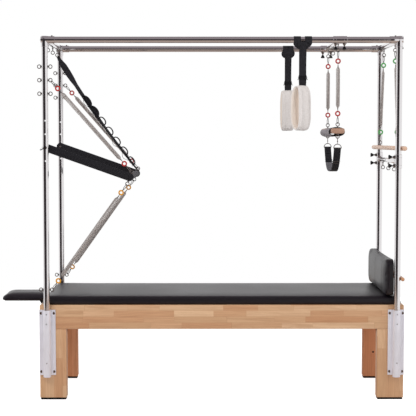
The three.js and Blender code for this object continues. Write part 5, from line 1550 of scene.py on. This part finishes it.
class TRAPEZE_OT_trapeze(bpy.types.Operator):
    """Build the trapeze bar with its foam pad, springs and foot strap"""

    bl_idname = "trapeze_table.trapeze"
    bl_label = "Trapeze"

    def execute(self, context):
        middle_z, eye_y = 1.642 - 0.016, TOP_EYE_Y
        self.bar(middle_z, eye_y)
        self.pad(middle_z)
        for side_name, side in SIDES:
            heights = (RAIL_Z - TOP_EYE_DROP, TRAPEZE_EYE_HIGH)
            top, bottom = (Vector((SLIDER_X, side * eye_y, z)) for z in heights)
            spring(f"trapeze_spring_{side_name}", top, bottom, "red", ("trapeze_springs", "trapeze"))
        self.foot_strap(eye_y)
        return {"FINISHED"}

    def bar(self, middle_z, eye_y):
        """A flat hardwood bar with chamfered long edges and rounded arrises."""
        flat = rounded(0.080, 0.032, 0.0095, 2)
        sections = []
        for y, inset in mirrored([(-0.31, 0.0016), (-0.3094, 0.0005), (-0.308, 0)], 0):
            scale = np.array([1 - inset / 0.04, 1 - inset / 0.016])
            sections.append([(SLIDER_X + a, y, middle_z + b) for a, b in flat * scale])
        Form().skin(sections).piece("trapeze_bar_wood", "bar_wood", "trapeze", "wood", ["trapeze_bar"])
        eyes = Form()
        for y in (-eye_y, eye_y):
            for root_z, eye_z in ((1.641, TRAPEZE_EYE_HIGH), (1.611, TRAPEZE_EYE_LOW)):
                eyes.eyebolt((SLIDER_X, y, root_z), (SLIDER_X, y, eye_z))
        eyes.piece("trapeze_bar_eyebolts", "plated", "trapeze", "tube_chrome")

    def pad(self, middle_z):
        """A foam pad wrapped round the bar: an oval sleeve with soft rolled ends and its dark end covers."""
        outer, inner, half = oval(0.047, 0.027, 1, 0.85), oval(0.0405, 0.0165, 0.35, 0.35), 0.265
        levels = [(-half + 0.004, inner), (-half, inner * 0.6 + outer * 0.4), (-half, inner * 0.15 + outer * 0.85)]
        levels += [(-half + 0.0015, outer * 0.98), (-half + 0.005, outer)]
        ends = [(-place, flat) for place, flat in reversed(levels)]
        for place in np.linspace(-half + 0.03, half - 0.03, 22):
            levels.append((place, outer * (1 + 0.008 * math.sin(place * 31) + 0.006 * math.sin(place * 57 + 1))))

        def hung(levels):
            """Sections at places along the bar, which sags a little towards the rear."""
            drops = [(y, flat, middle_z - 0.005 - 0.008 * (y + half)) for y, flat in levels]
            return [[(SLIDER_X - 0.002 + a, y, z + b * 1.04) for a, b in flat] for y, flat, z in drops]

        made = Form().skin(hung(levels + ends), ring=True).piece("trapeze_pad_foam", "foam")
        hand_over(made, "trapeze", ["trapeze_pad"])
        cover = Form()
        rim = [(half - 0.010, outer * 1.012), (half - 0.009, outer * 1.03), (half + 0.0006, outer * 1.03)]
        rim += [(half + 0.0012, outer), (half + 0.0012, inner * 1.04), (half - 0.002, inner * 1.02)]
        for side in (-1, 1):
            cover.skin(hung([(side * at, flat) for at, flat in rim]), ring=True)
        cover.piece("trapeze_pad_end_covers", "foam_dark", "trapeze", "grip_foam")

    def foot_strap(self, reach):
        """One run of webbing between two D-rings, doubled and stitched at the rings, with an adjuster each side."""
        width = context_sizes().webbing
        ring_z, bottom, ring_r, power = 1.523, 1.375, 0.023, 3.2
        hang = ring_z - bottom
        metal, band, extra, lining = Form(), Form(), Form(), Form()
        section = rounded(width, 0.0024, 0.0011, 2)

        def run(shares, lift=0.0):
            """Points of the strap from ring to ring, at shares of -1 to 1, lifted off it on its inner side."""
            points = []
            for share in shares:
                slope = math.copysign(hang * power * abs(share) ** (power - 1) / reach, share)
                at = Vector((SLIDER_X, share * reach, bottom + hang * abs(share) ** power))
                points.append(at + Vector((0, -slope, 1)).normalized() * lift)
            return points

        for _, side in SIDES:
            y = side * reach
            ring = Vector((SLIDER_X, y, ring_z))
            arc = [ring + (X * math.cos(a) + Z * math.sin(a)) * ring_r for a in np.linspace(0, math.pi, 25)]
            metal.wire(arc, 0.0024, 10)
            metal.rod(arc[0] + X * 0.002, arc[-1] - X * 0.002, 0.003, 16)
            strap_hook(metal, Vector((SLIDER_X, y, TRAPEZE_EYE_LOW - EYE_SEAT)), ring + Z * ring_r)
            for lift, share_to in ((-side * 0.0032, 0.86), (side * 0.0032, 0.9)):
                shares = np.linspace(1.0, share_to, 22) * side
                extra.sweep(run(shares, lift), section * np.array([0.98, 1.0]), side=X)
            for z in (1.43, 1.4415):
                at = Vector((SLIDER_X, y * ((z - bottom) / hang) ** (1 / power), z))
                adjuster = Vector((0.023, 0.006, 0.0022))
                extra.board(at - adjuster, at + adjuster, 0.0015, 0)
                low = at + Y * side * 0.0068
                metal.rod(low - X * 0.022, low + X * 0.022, 0.0011, 8)
        band.sweep(run(np.linspace(-1, 1, 97)), section, side=X).join(extra)
        band.piece("foot_strap_webbing", "webbing", "foot_strap", "black_webbing", ["foot_strap"])
        metal.piece("foot_strap_rings", "plated", "foot_strap", "tube_chrome")
        lining.sweep(run(np.linspace(-0.35, 0.7, 49), 0.003), rounded(width * 0.98, 0.003, 0.0014, 2), side=X)
        lining.piece("foot_strap_lining", "lining", "foot_strap", "black_webbing")


# Slings --------------------


def squared(part, power):
    """A sine or cosine drawn out towards 1 or -1, which squares a round outline."""
    return math.copysign(abs(part) ** power, part)


class TRAPEZE_OT_slings(bpy.types.Operator):
    """Build the two slings: webbing hitched round the rail, an adjuster and a fleece loop"""

    bl_idname = "trapeze_table.slings"
    bl_label = "Slings"

    def execute(self, context):
        self.sling("sling_front", 0.478, -1, math.radians(24), ((0.033, 0.012), (0.031, 0.022), (0.010, 0.038)))
        self.sling("sling_rear", 0.445, 1, math.radians(2), ((0.0135, 0.017), (0.022, 0.031), (0.008, 0.046)))
        return {"FINISHED"}

    def sling(self, name, x, side, turn, hitch):
        """The webbing goes twice round the rail, side by side, and both legs run together into one strap."""
        width = context_sizes().webbing
        rail, first, last = Vector((x, side * POST_Y, RAIL_Z)), hitch[0], hitch[-1][1]
        leg = rounded(0.042, 0.0024, 0.0011, 2)
        band, metal = Form(), Form()
        for way in (-1, 1):
            angles = np.linspace(0, 2 * math.pi, 49)[:-1]
            loop = [rail + Vector((way * first[0], 0.0207 * math.sin(a), 0.0207 * math.cos(a))) for a in angles]
            band.sweep(loop, rounded(0.042, 0.0022, 0.001, 2), side=X, ring=True)
            for face in (-1, 1):
                legs = [(way * first[0], face * 0.0232, 0.008)]
                legs += [(way * a, face * (0.0236 - 0.25 * max(0, d - 0.021)), -d) for a, d in hitch]
                legs.append((way * 0.003, face * 0.0042, -last - 0.010))
                band.sweep(smooth_path([rail + Vector(point) for point in legs], 30), leg, side=X)
        cross_z = -first[1] + 0.004
        bar = [rail + Vector((a, -0.0262, cross_z - 0.012 - 18 * a * a)) for a in np.linspace(-0.030, 0.030, 13)]
        band.sweep(bar, rounded(0.018, 0.0026, 0.0012, 2), side=-Z)
        drop = [rail - Z * d for d in np.linspace(last - 0.006, 0.272, 40)]
        band.sweep(drop, rounded(width, 0.0044, 0.0016, 2), side=X)
        front = []
        for d in np.linspace(0.014, 0.232, 45)[::4]:
            out = -0.0245 + 0.20 * max(0, d - 0.04) if d < 0.14 else -0.0045
            front.append(rail + Vector((0, out, -d)))
        band.sweep(smooth_path(front, 60), rounded(width, 0.0024, 0.0011, 2), side=X)
        pads = ((0.236, 0.0445, 0.0085, 0.034), (0.212, 0.0475, 0.0075, 0.008), (0.256, 0.0435, 0.007, 0.006))
        for d, wide, thick, tall in pads:
            centre, reach = rail - Z * d, Vector((wide / 2, thick / 2, tall / 2))
            band.board(centre - reach, centre + reach, 0.0018, 2)
        slot = rail - Z * 0.224
        face = slot - Y * 0.0068
        buckle = Form().wire([face + X * a + Z * b for a, b in rounded(0.049, 0.016, 0.004, 4)], 0.0018, 8, ring=True)
        buckle.rod(face - X * 0.024, face + X * 0.024, 0.0016, 10)
        for way in (-1, 1):
            at = slot + Vector((way * 0.0250, -0.002, -0.007))
            metal.rod(at, at + Vector((way * 0.0045, -0.002, -0.006)), 0.0021, 10)
        band.piece(name + "_webbing", "webbing", name, "black_webbing", [name])
        buckle.piece(name + "_buckle", "rubber", name, "black_webbing")
        metal.piece(name + "_buckle_pins", "plated", name, "tube_chrome")
        self.fleece(name, rail, turn, side)

    def fleece(self, name, rail, turn, side):
        """A padded loop: thick pile band whose edges roll outward, with soft upright folds."""
        length, thick, band_width, wall = 0.267, 0.078, 0.080, 0.011
        steps, around = 132, 32
        pull, shift = (0.011, 0.008) if side < 0 else (0.003, 0.004)
        place = Matrix.Translation((rail.x, rail.y, rail.z - 0.269 - length / 2)) @ Matrix.Rotation(turn, 4, "Z")
        inside, sections = [], []
        for angle in np.arange(steps) * 2 * math.pi / steps:
            ct, st = math.cos(angle), math.sin(angle)
            half, rise = (thick - wall) / 2 * (1 - 0.1 * ct), (length - wall) / 2
            base = Vector((0, half * squared(st, 0.62), rise * squared(ct, 0.62)))
            out = Vector((0, st * rise * 0.9, ct * half)).normalized()
            narrow = 0.83 + 0.19 * abs(st) ** 0.7
            lean = pull * (0.6 if st < 0 else 1) * -st * abs(st) - shift
            ring = []
            for turn_k in np.arange(around) * 2 * math.pi / around:
                ck, sk = math.cos(turn_k), math.sin(turn_k)
                across = squared(ck, 0.6) * band_width / 2
                depth = sk * wall / 2 * (1.0 + 0.45 * abs(ck))
                fold = 0.0026 * math.sin(across * 150 + st * 1.3 + base.z * 6) * abs(st)
                fold += 0.0018 * math.sin(across * 310 + 2.0 + ct - base.z * 9) * abs(st)
                lump = noise.noise(Vector((across * 30 + side * 7.0, base.y * 22, base.z * 18))) * 0.003
                ring.append(place @ (base + out * (depth + fold + lump) + X * (across * narrow + lean)))
                inside.append(max(0.0, min(1.0, -1.4 * sk)) * min(1.0, 0.2 + abs(st)))
            sections.append(ring)
        made = Form().skin(sections, ring=True).piece(name + "_fleece", "fleece")
        tint = made.data.attributes.new("inside", "FLOAT", "POINT")
        tint.data.foreach_set("value", np.array(inside[: len(made.data.vertices)], np.float32))
        hand_over(smoothed(made), name)


# Roll-down bar --------------------


class TRAPEZE_OT_roll_down_bar(bpy.types.Operator):
    """Build the roll-down dowel with its eyebolts and springs"""

    bl_idname = "trapeze_table.roll_down_bar"
    bl_label = "Roll-Down Bar"

    def execute(self, context):
        radius, half, eye_y, eye_z = 0.0135, 0.413, END_EYE_Y, 0.033
        turn = math.asin((TUBE_R + radius + 0.0008) / POST_Y)
        place = Matrix.Translation((POST_X, 0, 1.521)) @ Matrix.Rotation(turn, 4, "Z")
        dowel = Form().turned((0, -half, 0), (0, half, 0), domed(radius, 0.0095, 2 * half, 8), 48).moved(place)
        dowel.piece("roll_down_bar_dowel", "dowel_wood", "roll_bar", "wood", ["roll_down_bar"])
        eyes = Form()
        for y in (-eye_y, eye_y):
            eyes.eyebolt((0, y, 0.0128), (0, y, eye_z))
        eyes.moved(place).piece("roll_down_bar_eyebolts", "plated", "roll_bar", "tube_chrome")
        for side_name, side in SIDES:
            top = Vector((POST_X, side * eye_y, RAIL_Z - END_EYE_DROP))
            bottom = place @ Vector((0, side * eye_y, eye_z))
            spring(f"roll_spring_{side_name}", top, bottom, "green", ("table", "roll_bar"), 0.0084)
        return {"FINISHED"}


# Add-on --------------------


OPERATORS = (
    TRAPEZE_OT_stage,
    TRAPEZE_OT_base,
    TRAPEZE_OT_sockets,
    TRAPEZE_OT_canopy,
    TRAPEZE_OT_cushions,
    TRAPEZE_OT_push_bar,
    TRAPEZE_OT_sliders,
    TRAPEZE_OT_trapeze,
    TRAPEZE_OT_slings,
    TRAPEZE_OT_roll_down_bar,
)


class TRAPEZE_PT_panel(bpy.types.Panel):
    """Lists the builders of the table's pieces, its colours and its sizes"""

    bl_idname = "TRAPEZE_PT_panel"
    bl_label = "Trapeze Table"
    bl_space_type = "VIEW_3D"
    bl_region_type = "UI"
    bl_category = "Trapeze Table"

    def draw(self, context):
        for operator in OPERATORS:
            self.layout.operator(operator.bl_idname)
        for group in (context_look(), context_sizes()):
            for name in group.__annotations__:
                self.layout.prop(group, name)


CLASSES = (TrapezeTableLook, TrapezeTableSizes, *OPERATORS, TRAPEZE_PT_panel)


def register():
    for one in CLASSES:
        bpy.utils.register_class(one)
    bpy.types.Scene.trapeze_table_look = bpy.props.PointerProperty(type=TrapezeTableLook)
    bpy.types.Scene.trapeze_table_sizes = bpy.props.PointerProperty(type=TrapezeTableSizes)


def unregister():
    del bpy.types.Scene.trapeze_table_sizes
    del bpy.types.Scene.trapeze_table_look
    for one in reversed(CLASSES):
        bpy.utils.unregister_class(one)


def main():
    register()
    make_finishes()
    TREES.update(coil=coil_tree(), copies=copies_tree(), stitches=stitches_tree())
    for operator in OPERATORS:
        name = operator.bl_idname.split(".")[1]
        getattr(bpy.ops.trapeze_table, name)()


if __name__ == "__main__":
    main()
